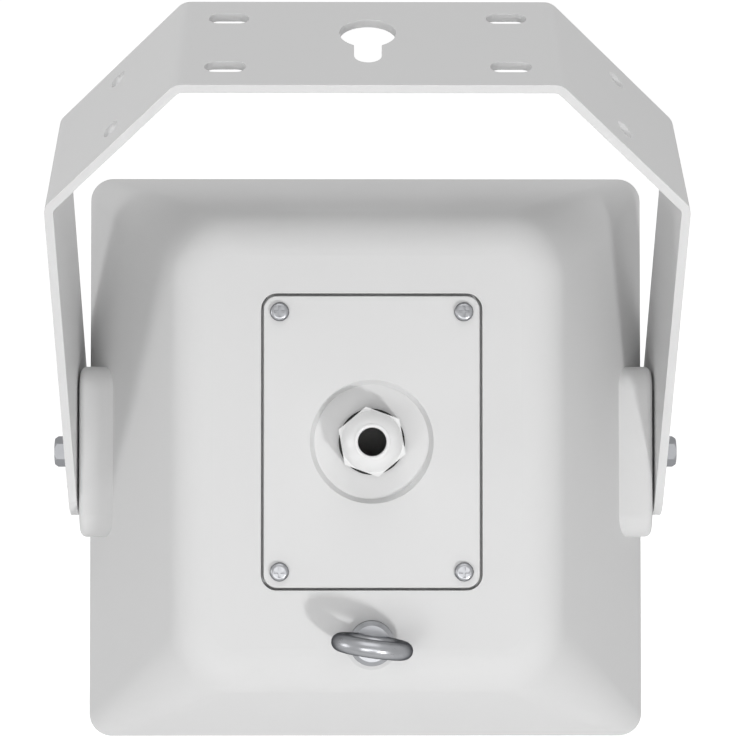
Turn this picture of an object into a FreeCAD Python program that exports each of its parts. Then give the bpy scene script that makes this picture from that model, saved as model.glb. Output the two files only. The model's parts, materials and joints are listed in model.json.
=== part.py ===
import FreeCAD, Part
import math
import os

# Installation speaker: a moulded cabinet that tilts between the legs of a folded U-shaped bracket.
# The origin is the centre of the bracket's mounting face and +Z points out of that face.
# The speaker fires towards +Y, turned down by aim_down. Sizes are millimetres and degrees.
# The cabinet and what it carries are drawn about the pivot axis, level and firing along +Y,
# and are turned to their place at the end.

# Bracket
aim_down = 37.7
strip_width = 75.0
strip_thickness = 4.0
pivot_to_plate = 227.0
pivot_to_bend = 165.0
plate_width = 165.0
bend_radius = 4.0
leg_end = 19.0
leg_corner_radius = 18.0
slot_spacing_x = 123.0
slot_spacing_y = 43.5
slot_length = 18.0
slot_width = 9.0
keyhole_diameter = 25.0
keyhole_offset = 8.5
keyhole_neck_width = 12.0
keyhole_neck_end = 17.8
angled_hole_diameter = 9.0

# Cabinet
cabinet_width = 270.0
cabinet_height = 273.0
cabinet_rise = -2.5
front_depth = 78.0
taper_depth = 118.0
rear_width = 166.0
rear_height = 208.0
rear_rise = 1.0
wall = 4.0
shoulder_corner_radius = 11.0
rear_corner_radius = 30.0
rear_edge_radius = 22.0
front_edge_radius = 2.5
pad_height = 82.0
pad_length = 64.0
pad_proud = 2.3
pad_root = 26.0
pad_corner_radius = 11.0
pad_edge_radius = 3.0
boss_wall = 6.0
boss_floor = 4.0

# Pivot fastening
bolt_diameter = 8.0
bolt_clearance = 0.5
bolt_head_flats = 13.0
bolt_head_height = 5.5
flat_washer_diameter = 17.0
flat_washer_thickness = 1.8
spring_washer_diameter = 14.5
spring_washer_thickness = 2.2
spring_washer_slit = 1.2
spacer_diameter = 30.0
spacer_thickness = 1.2
insert_diameter = 12.0
insert_length = 14.0
thread_gap = 0.1

# Terminal cover and its recess
cover_width = 96.0
cover_height = 129.5
cover_side = 1.9
cover_rise = 5.0
cover_thickness = 4.0
cover_corner_radius = 6.0
cover_edge_radius = 0.7
cover_gap = 1.2
gasket_thickness = 1.5
ledge_margin = 9.0
frame_margin = 8.0
frame_depth = 16.0
pocket_depth = 30.0
pocket_corner_radius = 8.0
cup_wall = 3.0
cover_screw_inset = 7.1
dish_diameter = 55.0
dish_slope = 2.0
dish_depth = 4.0
screw_diameter = 4.0
screw_length = 13.0
screw_head_diameter = 8.4
screw_head_height = 2.8
screw_head_round = 1.6
cross_length = 4.8
cross_width = 1.1
cross_depth = 1.5

# Cable gland
gland_flats = 27.0
gland_turn = 40.0
gland_hex_height = 6.0
gland_thread_diameter = 20.0
gland_neck_height = 9.0
gland_ring_diameter = 29.4
gland_ring_thickness = 1.5
gland_locknut_height = 5.0
gland_tail = 7.0
gland_wall = 2.0
dome_skirt_height = 11.0
dome_height = 20.0
dome_lip_diameter = 16.0
cable_hole_diameter = 12.4
seal_tail = 8.0
seal_edge = 0.5

# Safety eyebolt
eye_drop = 84.0
eye_ring_diameter = 36.0
eye_hole_diameter = 20.0
eye_collar_diameter = 20.0
eye_collar_height = 6.0
eye_collar_chamfer = 2.0
eye_turn = 8.0
eye_thread_length = 13.0
eye_boss_diameter = 24.0

# Front: grille, foam sheet and baffle
panel_gap = 0.6
grille_recess = 1.0
grille_sheet = 1.2
grille_lip = 9.0
grille_pitch = 18.0
grille_web = 4.0
grille_hole_turn = 30.0
grille_border = 14.0
foam_thickness = 3.0
baffle_recess = 16.0
baffle_thickness = 12.0
baffle_gasket = 2.0
baffle_ledge_width = 9.0
baffle_ledge_depth = 12.0
post_diameter = 11.0
post_inset = 9.0
baffle_screw_inset = 7.0
baffle_screw_offset = 42.0
counterbore_depth = 4.0
foam_hole_gap = 0.5
least_radius = 1.0

# Driver
cutout_diameter = 186.0
flange_width = 11.0
driver_gasket = 2.0
flange_thickness = 5.0
seat_depth = 3.0
seat_inset = 3.0
seat_width = 4.0
basket_depth = 56.0
basket_wall = 3.0
basket_floor = 3.0
basket_floor_diameter = 112.0
basket_hole_diameter = 58.0
shelf_height = 6.0
shelf_inner_diameter = 92.0
shelf_thickness = 3.0
window_count = 6
window_width = 50.0
window_margin = 6.0
driver_screw_count = 8
driver_screw_length = 16.0
top_plate_diameter = 100.0
top_plate_thickness = 8.0
magnet_diameter = 112.0
magnet_hole_diameter = 60.0
magnet_thickness = 18.0
back_plate_diameter = 106.0
back_plate_thickness = 8.0
former_diameter = 50.8
former_wall = 0.6
winding_wall = 0.7
winding_height = 12.0
running_gap = 0.6
throat_diameter = 18.0
soft_gap = 0.3
cone_wall = 1.0
cone_lip = 4.0
cone_neck_rise = 16.0
former_rise = 2.0
roll_radius = 4.0
surround_wall = 0.8
spider_wall = 0.8
spider_wave = 1.6
spider_waves = 4
spider_foot = 5.0
horn_foot_diameter = 40.0
horn_foot_height = 3.0
horn_wall = 2.0
horn_mouth_diameter = 68.0
horn_height = 58.0
horn_middle_diameter = 30.0
horn_middle_height = 40.0
hf_diameter = 88.0
hf_height = 24.0
hf_cap_diameter = 76.0
hf_cap_height = 11.0
hf_chamfer = 4.0

# Crossover and transformer, on the cabinet's floor
board_margin = 9.0
board_depth = 30.0
board_thickness = 1.6
board_side_gap = 4.0
board_middle = 18.0
standoff_height = 6.0
standoff_diameter = 7.0
standoff_inset = 5.0
board_screw_diameter = 3.0
board_screw_head = 6.0
board_screw_head_height = 2.0
coil_diameter = 26.0
coil_hole_diameter = 9.0
coil_height = 15.0
coil_count = 2
capacitor_diameter = 12.0
capacitor_length = 24.0
capacitor_count = 3
capacitor_edge = 1.0
resistor_length = 22.0
resistor_width = 9.0
board_part_gap = 2.0
core_width = 66.0
core_height = 55.0
core_stack = 30.0
core_leg = 22.0
core_window_width = 11.0
core_window_height = 33.0
core_side_gap = 0.5
core_middle = 17.0
winding_overhang = 10.0
winding_gap = 0.3
strap_thickness = 1.5
strap_foot = 11.0
strap_depth = 20.0
strap_screw_length = 4.0

# Terminal block and tap selector, in the pocket
block_length = 56.0
block_depth = 16.0
block_height = 12.0
block_drop = 38.0
block_step = 5.0
pole_count = 5
pole_pitch = 10.0
barrier_width = 2.0
terminal_screw_diameter = 5.0
terminal_screw_height = 2.0
selector_rise = 36.0
selector_diameter = 26.0
selector_height = 12.0
bushing_diameter = 9.0
bushing_height = 6.0
selector_nut_flats = 13.0
selector_nut_height = 2.5
shaft_diameter = 6.0
shaft_gap = 0.3
knob_diameter = 22.0
knob_height = 12.0
knob_edge_radius = 1.5
pointer_width = 2.4
pointer_depth = 1.2

# How near two edges or points have to be to count as one
tolerance = 0.001

V = FreeCAD.Vector
RIGHT = V(1, 0, 0)
FIRE = V(0, 1, 0)
BACK = V(0, -1, 0)
UP = V(0, 0, 1)

# Planes and lines that the pieces share
front_y = front_depth
rear_y = -taper_depth
pad_face_x = cabinet_width / 2 + pad_proud
leg_inner_x = pad_face_x + spacer_thickness
leg_outer_x = leg_inner_x + strip_thickness
pivot_z = -pivot_to_plate
inner_width = cabinet_width - 2 * wall
inner_height = cabinet_height - 2 * wall
inner_corner_radius = shoulder_corner_radius - wall
floor_z = cabinet_rise - inner_height / 2
cover_seat_y = rear_y + cover_thickness + gasket_thickness
pocket_floor_y = rear_y + pocket_depth
cup_back_y = pocket_floor_y + cup_wall
cover_screw_spacing_x = cover_width - 2 * cover_screw_inset
cover_screw_spacing_z = cover_height - 2 * cover_screw_inset
gland_seat_y = rear_y + dish_depth
gland_floor_y = gland_seat_y + cover_thickness
sheet_back_y = front_y - grille_recess - grille_sheet
baffle_front_y = front_y - baffle_recess
baffle_back_y = baffle_front_y - baffle_thickness
ledge_y = baffle_back_y - baffle_gasket
driver_diameter = cutout_diameter + 2 * flange_width
driver_screw_circle = cutout_diameter + flange_width
seat_diameter = cutout_diameter - 2 * seat_inset
flange_y = baffle_front_y + driver_gasket
seat_y = flange_y + flange_thickness - seat_depth
basket_floor_y = flange_y - basket_depth
shelf_y = basket_floor_y + basket_floor + shelf_height
top_plate_y = basket_floor_y - top_plate_thickness
magnet_y = top_plate_y - magnet_thickness
back_plate_y = magnet_y - back_plate_thickness
hf_y = back_plate_y - hf_height
former_outer = former_diameter / 2 + former_wall
winding_outer = former_outer + winding_wall
neck_y = basket_floor_y + cone_neck_rise
winding_y = basket_floor_y - top_plate_thickness / 2 - winding_height / 2


def placed(shape, start, direction):
    """A copy of a shape drawn along +Z, moved to start and pointed along direction."""
    copy = shape.copy()
    copy.Placement = FreeCAD.Placement(start, FreeCAD.Rotation(UP, direction)).multiply(shape.Placement)
    return copy


def outline(width, height, radius):
    """Rounded rectangle in the XY plane, centred on the origin."""
    centres = [(1, 1), (-1, 1), (-1, -1), (1, -1)]
    arcs = []
    for quarter, (side_x, side_y) in enumerate(centres):
        centre = V(side_x * (width / 2 - radius), side_y * (height / 2 - radius), 0)
        angles = [math.radians(90 * quarter + step) for step in (0, 45, 90)]
        points = [centre + V(radius * math.cos(a), radius * math.sin(a), 0) for a in angles]
        arcs.append(Part.Arc(*points).toShape())
    edges = []
    for arc, following in zip(arcs, arcs[1:] + arcs[:1]):
        edges.append(arc)
        start = arc.Vertexes[-1].Point
        end = following.Vertexes[0].Point
        if start.distanceToPoint(end) > tolerance:
            edges.append(Part.LineSegment(start, end).toShape())
    return Part.Wire(edges)


def block(width, height, radius, length):
    """Rounded rectangular bar along +Z."""
    return Part.Face(outline(width, height, radius)).extrude(V(0, 0, length))


def box(width, depth, height):
    """Plain bar along +Z, centred on the axis."""
    return Part.makeBox(width, depth, height, V(-width / 2, -depth / 2, 0))


def ring(inner_diameter, outer_diameter, height):
    """Washer along +Z."""
    return Part.makeCylinder(outer_diameter / 2, height).cut(Part.makeCylinder(inner_diameter / 2, height))


def hexagon(flats, height, turn=0.0):
    """Hexagonal bar along +Z with a corner on +X, turned about its axis."""
    corners = [math.radians(turn + 60 * corner) for corner in range(7)]
    radius = flats / math.sqrt(3)
    points = [V(radius * math.cos(a), radius * math.sin(a), 0) for a in corners]
    return Part.Face(Part.makePolygon(points)).extrude(V(0, 0, height))


def turned(profile):
    """Solid of revolution about Z from points of radius and height."""
    points = [V(radius, 0, height) for radius, height in profile]
    return Part.Face(Part.makePolygon(points + points[:1])).revolve(V(0, 0, 0), UP, 360)


def turned_edges(edges):
    """Solid of revolution about Z from the edges of a profile in the XZ plane."""
    return Part.Face(Part.Wire(edges)).revolve(V(0, 0, 0), UP, 360)


def line(start, end):
    """Profile line between two points of radius and height."""
    return Part.LineSegment(V(start[0], 0, start[1]), V(end[0], 0, end[1])).toShape()


def arc(start, middle, end):
    """Profile arc through three points of radius and height."""
    return Part.Arc(*[V(point[0], 0, point[1]) for point in (start, middle, end)]).toShape()


def edges_at_height(shape, height):
    """Edges that lie in the plane Z = height."""
    flat = [edge for edge in shape.Edges if edge.BoundBox.ZLength < tolerance]
    return [edge for edge in flat if abs(edge.BoundBox.ZMin - height) < tolerance]


def on_driver_axis(shape):
    """A shape drawn along +Z, with Z as the distance ahead of the pivot, put on the driver's axis."""
    return placed(shape, V(0, 0, cabinet_rise), FIRE)


def on_back(shape, x, y, z):
    """A shape drawn along +Z, pointed out of the cabinet's back."""
    return placed(shape, V(x, y, z), BACK)


def group(shapes):
    return Part.makeCompound(shapes)


def corner_places(spacing_x, spacing_y):
    """The four corners of a rectangle about the origin."""
    return [(x * spacing_x / 2, y * spacing_y / 2) for x in (-1, 1) for y in (-1, 1)]


def pan_screw(diameter, length, head_diameter, head_height, head_round):
    """Pan-head screw with a cross recess, its head's seat at Z = 0 and its shank below."""
    head = Part.makeCylinder(head_diameter / 2, head_height)
    head = head.makeFillet(head_round, edges_at_height(head, head_height))
    shank = Part.makeCylinder(diameter / 2, length, V(0, 0, -length))
    cross = box(cross_length, cross_width, cross_depth).fuse(box(cross_width, cross_length, cross_depth))
    cross.translate(V(0, 0, head_height - cross_depth))
    return head.fuse(shank).cut(cross).removeSplitter()


# Bracket

def bracket_section(inset):
    """Closed outline of the folded strip's outer or, with an inset, inner side, down past the leg ends."""
    half_plate = plate_width / 2
    bend_z = pivot_z + pivot_to_bend
    leg_turn = math.atan2(leg_outer_x - half_plate, -bend_z)
    plate_turn = math.pi / 2 - leg_turn
    leg_x = leg_outer_x - inset
    lower = bend_z - inset * math.tan(leg_turn / 2)
    upper = half_plate - inset * math.tan(plate_turn / 2)
    end_z = pivot_z - leg_end
    right = [(leg_x, end_z), (leg_x, lower), (upper, -inset)]
    left = [(-x, z) for x, z in reversed(right)]
    points = [V(x, -strip_width / 2, z) for x, z in right + left]
    return Part.Face(Part.makePolygon(points + points[:1])).extrude(V(0, strip_width, 0))


def round_bends(solid, radius):
    """Round the four bends of a folded outline, which are its edges across the strip above the legs."""
    across = [edge for edge in solid.Edges if abs(edge.BoundBox.YLength - strip_width) < tolerance]
    return solid.makeFillet(radius, [edge for edge in across if edge.BoundBox.ZMin > pivot_z])


def keyhole_cutter():
    """Round hole with a narrower neck towards the back, through the plate."""
    depth = 3 * strip_thickness
    neck_centre = -keyhole_neck_end + keyhole_neck_width / 2
    hole = Part.makeCylinder(keyhole_diameter / 2, depth, V(0, keyhole_offset, 0))
    neck_end = Part.makeCylinder(keyhole_neck_width / 2, depth, V(0, neck_centre, 0))
    reach = keyhole_offset - neck_centre
    neck = Part.makeBox(keyhole_neck_width, reach, depth, V(-keyhole_neck_width / 2, neck_centre, 0))
    cutter = hole.fuse([neck_end, neck])
    cutter.translate(V(0, 0, -depth / 2))
    return cutter


def angled_hole_cutters():
    """Two round holes in the middle of each angled face, square to it."""
    bend_z = pivot_z + pivot_to_bend
    middle = V((leg_outer_x + plate_width / 2) / 2, 0, bend_z / 2)
    normal = V(-bend_z, 0, leg_outer_x - plate_width / 2)
    normal.normalize()
    depth = 3 * strip_thickness
    cutters = []
    for side in (-1, 1):
        for row in (-1, 1):
            start = middle - normal * (depth / 2) + V(0, row * slot_spacing_y / 2, 0)
            hole = Part.makeCylinder(angled_hole_diameter / 2, depth)
            place = V(side * start.x, start.y, start.z)
            cutters.append(placed(hole, place, V(side * normal.x, 0, normal.z)))
    return cutters


def make_bracket():
    outer = round_bends(bracket_section(0.0), bend_radius + strip_thickness)
    inner = round_bends(bracket_section(strip_thickness), bend_radius)
    strip = outer.cut(inner)
    ends = [edge for edge in edges_at_height(strip, pivot_z - leg_end) if edge.BoundBox.YLength < tolerance]
    upright = [edge for edge in ends if abs(edge.BoundBox.XLength - strip_thickness) < tolerance]
    strip = strip.makeFillet(leg_corner_radius, upright)
    slot = block(slot_length, slot_width, slot_width / 2, 3 * strip_thickness)
    slot.translate(V(0, 0, -2 * strip_thickness))
    cutters = [placed(slot, V(x, y, 0), UP) for x, y in corner_places(slot_spacing_x, slot_spacing_y)]
    pivot_hole = Part.makeCylinder(bolt_diameter / 2 + bolt_clearance, 2 * leg_outer_x)
    cutters.append(placed(pivot_hole, V(-leg_outer_x, 0, pivot_z), RIGHT))
    return strip.cut(cutters + [keyhole_cutter()] + angled_hole_cutters())


# Cabinet

def shell_form(inset, front):
    """The cabinet's outer form, or its hollow with an inset: straight in front, tapered and rounded behind."""
    width = cabinet_width - 2 * inset
    height = cabinet_height - 2 * inset
    side_slope = (cabinet_width - rear_width) / 2 / taper_depth
    top_slope = (cabinet_height - rear_height) / 2 / taper_depth
    back_width = rear_width + 2 * inset * (side_slope - math.hypot(1, side_slope))
    back_height = rear_height + 2 * inset * (top_slope - math.hypot(1, top_slope))
    shoulder = placed(outline(width, height, shoulder_corner_radius - inset), V(0, 0, cabinet_rise), BACK)
    back_outline = outline(back_width, back_height, rear_corner_radius - inset)
    back = placed(back_outline, V(0, rear_y + inset, rear_rise), BACK)
    taper = Part.makeLoft([shoulder, back], True, True)
    rear_edges = [edge for edge in taper.Edges if edge.BoundBox.YMax < rear_y + inset + tolerance]
    taper = taper.makeFillet(rear_edge_radius - inset, rear_edges)
    straight = block(width, height, shoulder_corner_radius - inset, front)
    return taper.fuse(placed(straight, V(0, 0, cabinet_rise), FIRE)).removeSplitter()


def pivot_pads():
    """Raised pads on the cabinet's sides, with rounded outer edges."""
    pad = block(pad_height, pad_length, pad_corner_radius, pad_root)
    pad = pad.makeFillet(pad_edge_radius, edges_at_height(pad, pad_root))
    root_x = pad_face_x - pad_root
    return [placed(pad, V(side * root_x, 0, 0), RIGHT * side) for side in (-1, 1)]


def boss(diameter, length):
    return Part.makeCylinder(diameter / 2, length)


def panel_bar(margin, length):
    """Bar with the outline of the cabinet's front opening, less a margin all round."""
    radius = max(inner_corner_radius - margin, least_radius)
    return block(inner_width - 2 * margin, inner_height - 2 * margin, radius, length)


def at_front(shape, y):
    """A shape drawn along +Z, pointed forward from the plane Y = y on the cabinet's middle."""
    return placed(shape, V(0, y, cabinet_rise), FIRE)


def baffle_screw_places():
    """Two screws near the middle of each side of the baffle."""
    half_x = inner_width / 2 - baffle_screw_inset
    half_z = inner_height / 2 - baffle_screw_inset
    along_z = [(x * half_x, z * baffle_screw_offset) for x in (-1, 1) for z in (-1, 1)]
    along_x = [(x * baffle_screw_offset, z * half_z) for x in (-1, 1) for z in (-1, 1)]
    return along_z + along_x


def post_places():
    """Grille posts in the baffle's four corners."""
    reach = 2 * (panel_gap + grille_sheet + post_inset)
    return corner_places(inner_width - reach, inner_height - reach)


def cover_screw_places():
    places = corner_places(cover_screw_spacing_x, cover_screw_spacing_z)
    return [(x + cover_side, z + cover_rise) for x, z in places]


def pilot(diameter, length):
    """Screw hole that runs from Z = 0 down, a thread's gap wider than its screw."""
    return Part.makeCylinder(diameter / 2 + thread_gap, length, V(0, 0, -length))


def make_cabinet():
    solid = shell_form(0.0, front_y)
    rim = [edge for edge in solid.Edges if edge.BoundBox.YMin > front_y - tolerance]
    solid = solid.makeFillet(front_edge_radius, rim)
    solid = solid.fuse(pivot_pads()).cut(shell_form(wall, front_y + wall))

    pivot_boss = boss(insert_diameter + 2 * boss_wall, insert_length + boss_floor)
    additions = [placed(pivot_boss, V(side * pad_face_x, 0, 0), RIGHT * -side) for side in (-1, 1)]
    eye_boss = boss(eye_boss_diameter, insert_length + boss_floor)
    additions.append(placed(eye_boss, V(cover_side, rear_y, -eye_drop), FIRE))
    frame_width = cover_width + 2 * (cover_gap + frame_margin)
    frame_height = cover_height + 2 * (cover_gap + frame_margin)
    frame = block(frame_width, frame_height, cover_corner_radius + frame_margin, frame_depth)
    additions.append(placed(frame, V(cover_side, rear_y, cover_rise), FIRE))
    pocket_width = cover_width - 2 * ledge_margin
    pocket_height = cover_height - 2 * ledge_margin
    cup = block(pocket_width + 2 * cup_wall, pocket_height + 2 * cup_wall,
                pocket_corner_radius + cup_wall, pocket_depth + cup_wall)
    additions.append(placed(cup, V(cover_side, rear_y, cover_rise), FIRE))
    ledge = panel_bar(-wall / 2, baffle_ledge_depth).cut(panel_bar(baffle_ledge_width, baffle_ledge_depth))
    additions.append(at_front(ledge, ledge_y - baffle_ledge_depth))
    solid = solid.fuse(additions)

    insert_hole = Part.makeCylinder(insert_diameter / 2, insert_length)
    cuts = [placed(insert_hole, V(side * pad_face_x, 0, 0), RIGHT * -side) for side in (-1, 1)]
    cuts.append(placed(insert_hole, V(cover_side, rear_y, -eye_drop), FIRE))
    recess_depth = cover_thickness + gasket_thickness
    recess = block(cover_width + 2 * cover_gap, cover_height + 2 * cover_gap,
                   cover_corner_radius + cover_gap, recess_depth)
    cuts.append(placed(recess, V(cover_side, rear_y, cover_rise), FIRE))
    pocket = block(pocket_width, pocket_height, pocket_corner_radius, pocket_depth)
    cuts.append(placed(pocket, V(cover_side, rear_y, cover_rise), FIRE))
    cover_pilot = pilot(screw_diameter, screw_length)
    cuts += [on_back(cover_pilot, x, rear_y, z) for x, z in cover_screw_places()]
    baffle_pilot = pilot(screw_diameter, baffle_thickness + baffle_ledge_depth)
    cuts += [placed(baffle_pilot, V(x, baffle_front_y, z + cabinet_rise), FIRE)
             for x, z in baffle_screw_places()]
    strap_pilot = pilot(board_screw_diameter, strap_screw_length - strap_thickness)
    cuts += [at_core(placed(strap_pilot, V(side * strap_screw_reach(), 0, 0), UP), 0) for side in (-1, 1)]
    bushing_hole = Part.makeCylinder(bushing_diameter / 2 + thread_gap, cup_wall)
    cuts.append(placed(bushing_hole, V(cover_side, pocket_floor_y, cover_rise + selector_rise), FIRE))
    return solid.cut(cuts).removeSplitter()


# Pivot fastening

def pivot_pair(shape, x):
    """A shape drawn along +Z, put on both sides of the pivot axis, pointing outwards from x."""
    return group([placed(shape, V(side * x, 0, 0), RIGHT * side) for side in (-1, 1)])


def make_insert():
    return ring(bolt_diameter + 2 * thread_gap, insert_diameter, insert_length)


def make_pivot_bolts():
    head = hexagon(bolt_head_flats, bolt_head_height)
    corner = bolt_head_flats / math.sqrt(3)
    crown = Part.makeCone(corner + bolt_head_height / 2, bolt_head_flats / 2, bolt_head_height)
    head = head.common(crown)
    seat_x = leg_outer_x + flat_washer_thickness + spring_washer_thickness
    shank_length = seat_x - pad_face_x + insert_length
    shank = Part.makeCylinder(bolt_diameter / 2, shank_length, V(0, 0, -shank_length))
    return pivot_pair(head.fuse(shank), seat_x)


def make_pivot_spring_washers():
    washer = ring(bolt_diameter + 2 * bolt_clearance, spring_washer_diameter, spring_washer_thickness)
    slit = Part.makeBox(spring_washer_diameter, spring_washer_slit, spring_washer_thickness)
    return pivot_pair(washer.cut(slit), leg_outer_x + flat_washer_thickness)


def make_pivot_flat_washers():
    washer = ring(bolt_diameter + 2 * bolt_clearance, flat_washer_diameter, flat_washer_thickness)
    return pivot_pair(washer, leg_outer_x)


def make_pivot_spacers():
    spacer = ring(bolt_diameter + 2 * bolt_clearance, spacer_diameter, spacer_thickness)
    return pivot_pair(spacer, pad_face_x)


# Terminal cover

def make_terminal_cover():
    """Plate with a dished seat for the gland, drawn with its outer face at Z = 0 and its back below."""
    plate = block(cover_width, cover_height, cover_corner_radius, cover_thickness)
    plate = plate.makeFillet(cover_edge_radius, edges_at_height(plate, cover_thickness))
    plate.translate(V(0, 0, -cover_thickness))
    dish_radius = dish_diameter / 2
    back_depth = dish_depth + cover_thickness
    backing = Part.makeCone(dish_radius, dish_radius + cover_thickness - dish_slope, dish_depth)
    backing.translate(V(0, 0, -back_depth))
    dish = Part.makeCone(dish_radius - dish_slope, dish_radius, dish_depth)
    dish.translate(V(0, 0, -dish_depth))
    hole = Part.makeCylinder(gland_thread_diameter / 2 + thread_gap, back_depth, V(0, 0, -back_depth))
    cover = plate.fuse(backing).cut([dish, hole])
    screw_hole = Part.makeCylinder(screw_diameter / 2 + bolt_clearance, cover_thickness)
    screw_hole.translate(V(0, 0, -cover_thickness))
    places = corner_places(cover_screw_spacing_x, cover_screw_spacing_z)
    cover = cover.cut([placed(screw_hole, V(x, y, 0), UP) for x, y in places])
    return on_back(cover, cover_side, rear_y, cover_rise)


def make_cover_gasket():
    outer = block(cover_width, cover_height, cover_corner_radius, gasket_thickness)
    inner = block(cover_width - 2 * ledge_margin, cover_height - 2 * ledge_margin,
                  pocket_corner_radius, gasket_thickness)
    hole = Part.makeCylinder(screw_diameter / 2 + bolt_clearance, gasket_thickness)
    places = corner_places(cover_screw_spacing_x, cover_screw_spacing_z)
    gasket = outer.cut([inner] + [placed(hole, V(x, y, 0), UP) for x, y in places])
    return on_back(gasket, cover_side, cover_seat_y, cover_rise)


def make_cover_screws():
    screw = pan_screw(screw_diameter, screw_length, screw_head_diameter, screw_head_height, screw_head_round)
    return group([on_back(screw, x, rear_y, z) for x, z in cover_screw_places()])


# Cable gland, drawn with its seat on the dish's floor at Z = 0

def on_dish(shape):
    return on_back(shape, cover_side, gland_seat_y, cover_rise)


def make_gland_body():
    seat = gland_ring_thickness
    bore = gland_thread_diameter / 2 - gland_wall
    outer = gland_thread_diameter / 2
    tail = cover_thickness + gland_tail
    length = tail + seat + gland_hex_height + gland_neck_height
    sleeve = Part.makeCylinder(outer, length, V(0, 0, -tail))
    body = sleeve.fuse(placed(hexagon(gland_flats, gland_hex_height, gland_turn), V(0, 0, seat), UP))
    return on_dish(body.cut(Part.makeCylinder(bore, length, V(0, 0, -tail))))


def make_gland_ring():
    return on_dish(ring(gland_thread_diameter + 2 * thread_gap, gland_ring_diameter, gland_ring_thickness))


def make_gland_locknut():
    nut = hexagon(gland_flats, gland_locknut_height, gland_turn)
    nut = nut.cut(Part.makeCylinder(gland_thread_diameter / 2 + thread_gap, gland_locknut_height))
    return placed(nut, V(cover_side, gland_floor_y, cover_rise), FIRE)


def dome_start():
    return gland_ring_thickness + gland_hex_height


def dome_cone_height(radius):
    """Height in the dome nut at which its inner cone, which presses the seal, has a radius."""
    return gland_neck_height + gland_thread_diameter / 2 + thread_gap - radius


def make_gland_dome_nut():
    """Hexagonal skirt under a dome that closes to a rounded lip round the cable hole."""
    skirt_radius = gland_flats / 2
    lip_radius = dome_lip_diameter / 2
    hole_radius = cable_hole_diameter / 2
    thread_radius = gland_thread_diameter / 2 + thread_gap
    lip_round = lip_radius - hole_radius
    shoulder = ((skirt_radius + lip_radius) / 2 + lip_round / 2, (dome_skirt_height + dome_height) / 2)
    lip_start = (lip_radius, dome_height - lip_round / 2)
    lip_top = (lip_radius - lip_round / 2, dome_height)
    lip_end = (hole_radius, dome_height - lip_round / 2)
    inside_top = (hole_radius, dome_cone_height(hole_radius))
    inside_seat = (thread_radius, dome_cone_height(thread_radius))
    dome = turned_edges([
        line((thread_radius, 0), (skirt_radius, 0)),
        line((skirt_radius, 0), (skirt_radius, dome_skirt_height)),
        arc((skirt_radius, dome_skirt_height), shoulder, lip_start),
        arc(lip_start, lip_top, lip_end),
        line(lip_end, inside_top),
        line(inside_top, inside_seat),
        line(inside_seat, (thread_radius, 0)),
    ])
    skirt = hexagon(gland_flats, dome_skirt_height, gland_turn)
    skirt = skirt.cut(Part.makeCylinder(skirt_radius - gland_wall / 2, dome_skirt_height))
    return on_dish(placed(dome.fuse(skirt), V(0, 0, dome_start()), UP))


def make_gland_seal():
    """Rubber sleeve inside the gland's neck, coned at the top where the dome nut presses it."""
    outer = gland_thread_diameter / 2 - gland_wall
    hole = cable_hole_diameter / 2
    edge = hole + seal_edge
    base = gland_neck_height - seal_tail
    seal = turned([
        (hole, base), (outer, base), (outer, dome_cone_height(outer) - thread_gap),
        (edge, dome_cone_height(edge) - thread_gap), (hole, dome_cone_height(edge) - thread_gap),
    ])
    return on_dish(placed(seal, V(0, 0, dome_start()), UP))


# Safety eyebolt

def make_safety_eyebolt():
    """Forged ring on a round collar, drawn with the collar's seat at Z = 0."""
    section = (eye_ring_diameter - eye_hole_diameter) / 4
    ring_radius = (eye_ring_diameter - 2 * section) / 2
    ring_centre = V(0, 0, eye_ring_diameter / 2)
    eye = Part.makeTorus(ring_radius, section, ring_centre, V(0, 1, 0))
    collar_radius = eye_collar_diameter / 2
    collar = turned([(0, 0), (collar_radius, 0), (collar_radius, eye_collar_height - eye_collar_chamfer),
                     (collar_radius - eye_collar_chamfer, eye_collar_height), (0, eye_collar_height)])
    shank = Part.makeCylinder(bolt_diameter / 2, eye_thread_length, V(0, 0, -eye_thread_length))
    bolt = collar.fuse([eye, shank])
    bolt.rotate(V(0, 0, 0), UP, -eye_turn)
    return on_back(bolt, cover_side, rear_y, -eye_drop)


def make_eyebolt_insert():
    return placed(make_insert(), V(cover_side, rear_y, -eye_drop), FIRE)


# Front

def make_grille():
    """Perforated sheet with a folded lip, drawn with the lip's edge at Z = 0."""
    depth = grille_lip + grille_sheet
    tray = panel_bar(panel_gap, depth).cut(panel_bar(panel_gap + grille_sheet, grille_lip))
    hole = hexagon(grille_pitch - grille_web, 3 * grille_sheet, grille_hole_turn)
    half_x = inner_width / 2 - grille_border
    half_y = inner_height / 2 - grille_border
    row_pitch = grille_pitch * math.sqrt(3) / 2
    rows = int(half_y // row_pitch)
    keep_clear = grille_pitch / 2 + screw_head_diameter / 2
    cutters = []
    for row in range(-rows, rows + 1):
        shift = grille_pitch / 2 if row % 2 else 0.0
        columns = int((half_x + shift) // grille_pitch)
        for column in range(-columns, columns + 1):
            centre = V(column * grille_pitch + shift, row * row_pitch, grille_lip - grille_sheet)
            reach = [math.hypot(centre.x - x, centre.y - y) for x, y in post_places()]
            if abs(centre.x) < half_x and min(reach) > keep_clear:
                cutters.append(placed(hole, centre, UP))
    screw_hole = Part.makeCylinder(screw_diameter / 2 + bolt_clearance, depth)
    cutters += [placed(screw_hole, V(x, y, 0), UP) for x, y in post_places()]
    return at_front(tray.cut(group(cutters)), sheet_back_y - grille_lip)


def make_grille_foam():
    sheet = panel_bar(2 * panel_gap + grille_sheet, foam_thickness)
    hole = Part.makeCylinder(post_diameter / 2 + foam_hole_gap, foam_thickness)
    sheet = sheet.cut([placed(hole, V(x, y, 0), UP) for x, y in post_places()])
    return at_front(sheet, sheet_back_y - foam_thickness)


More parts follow.
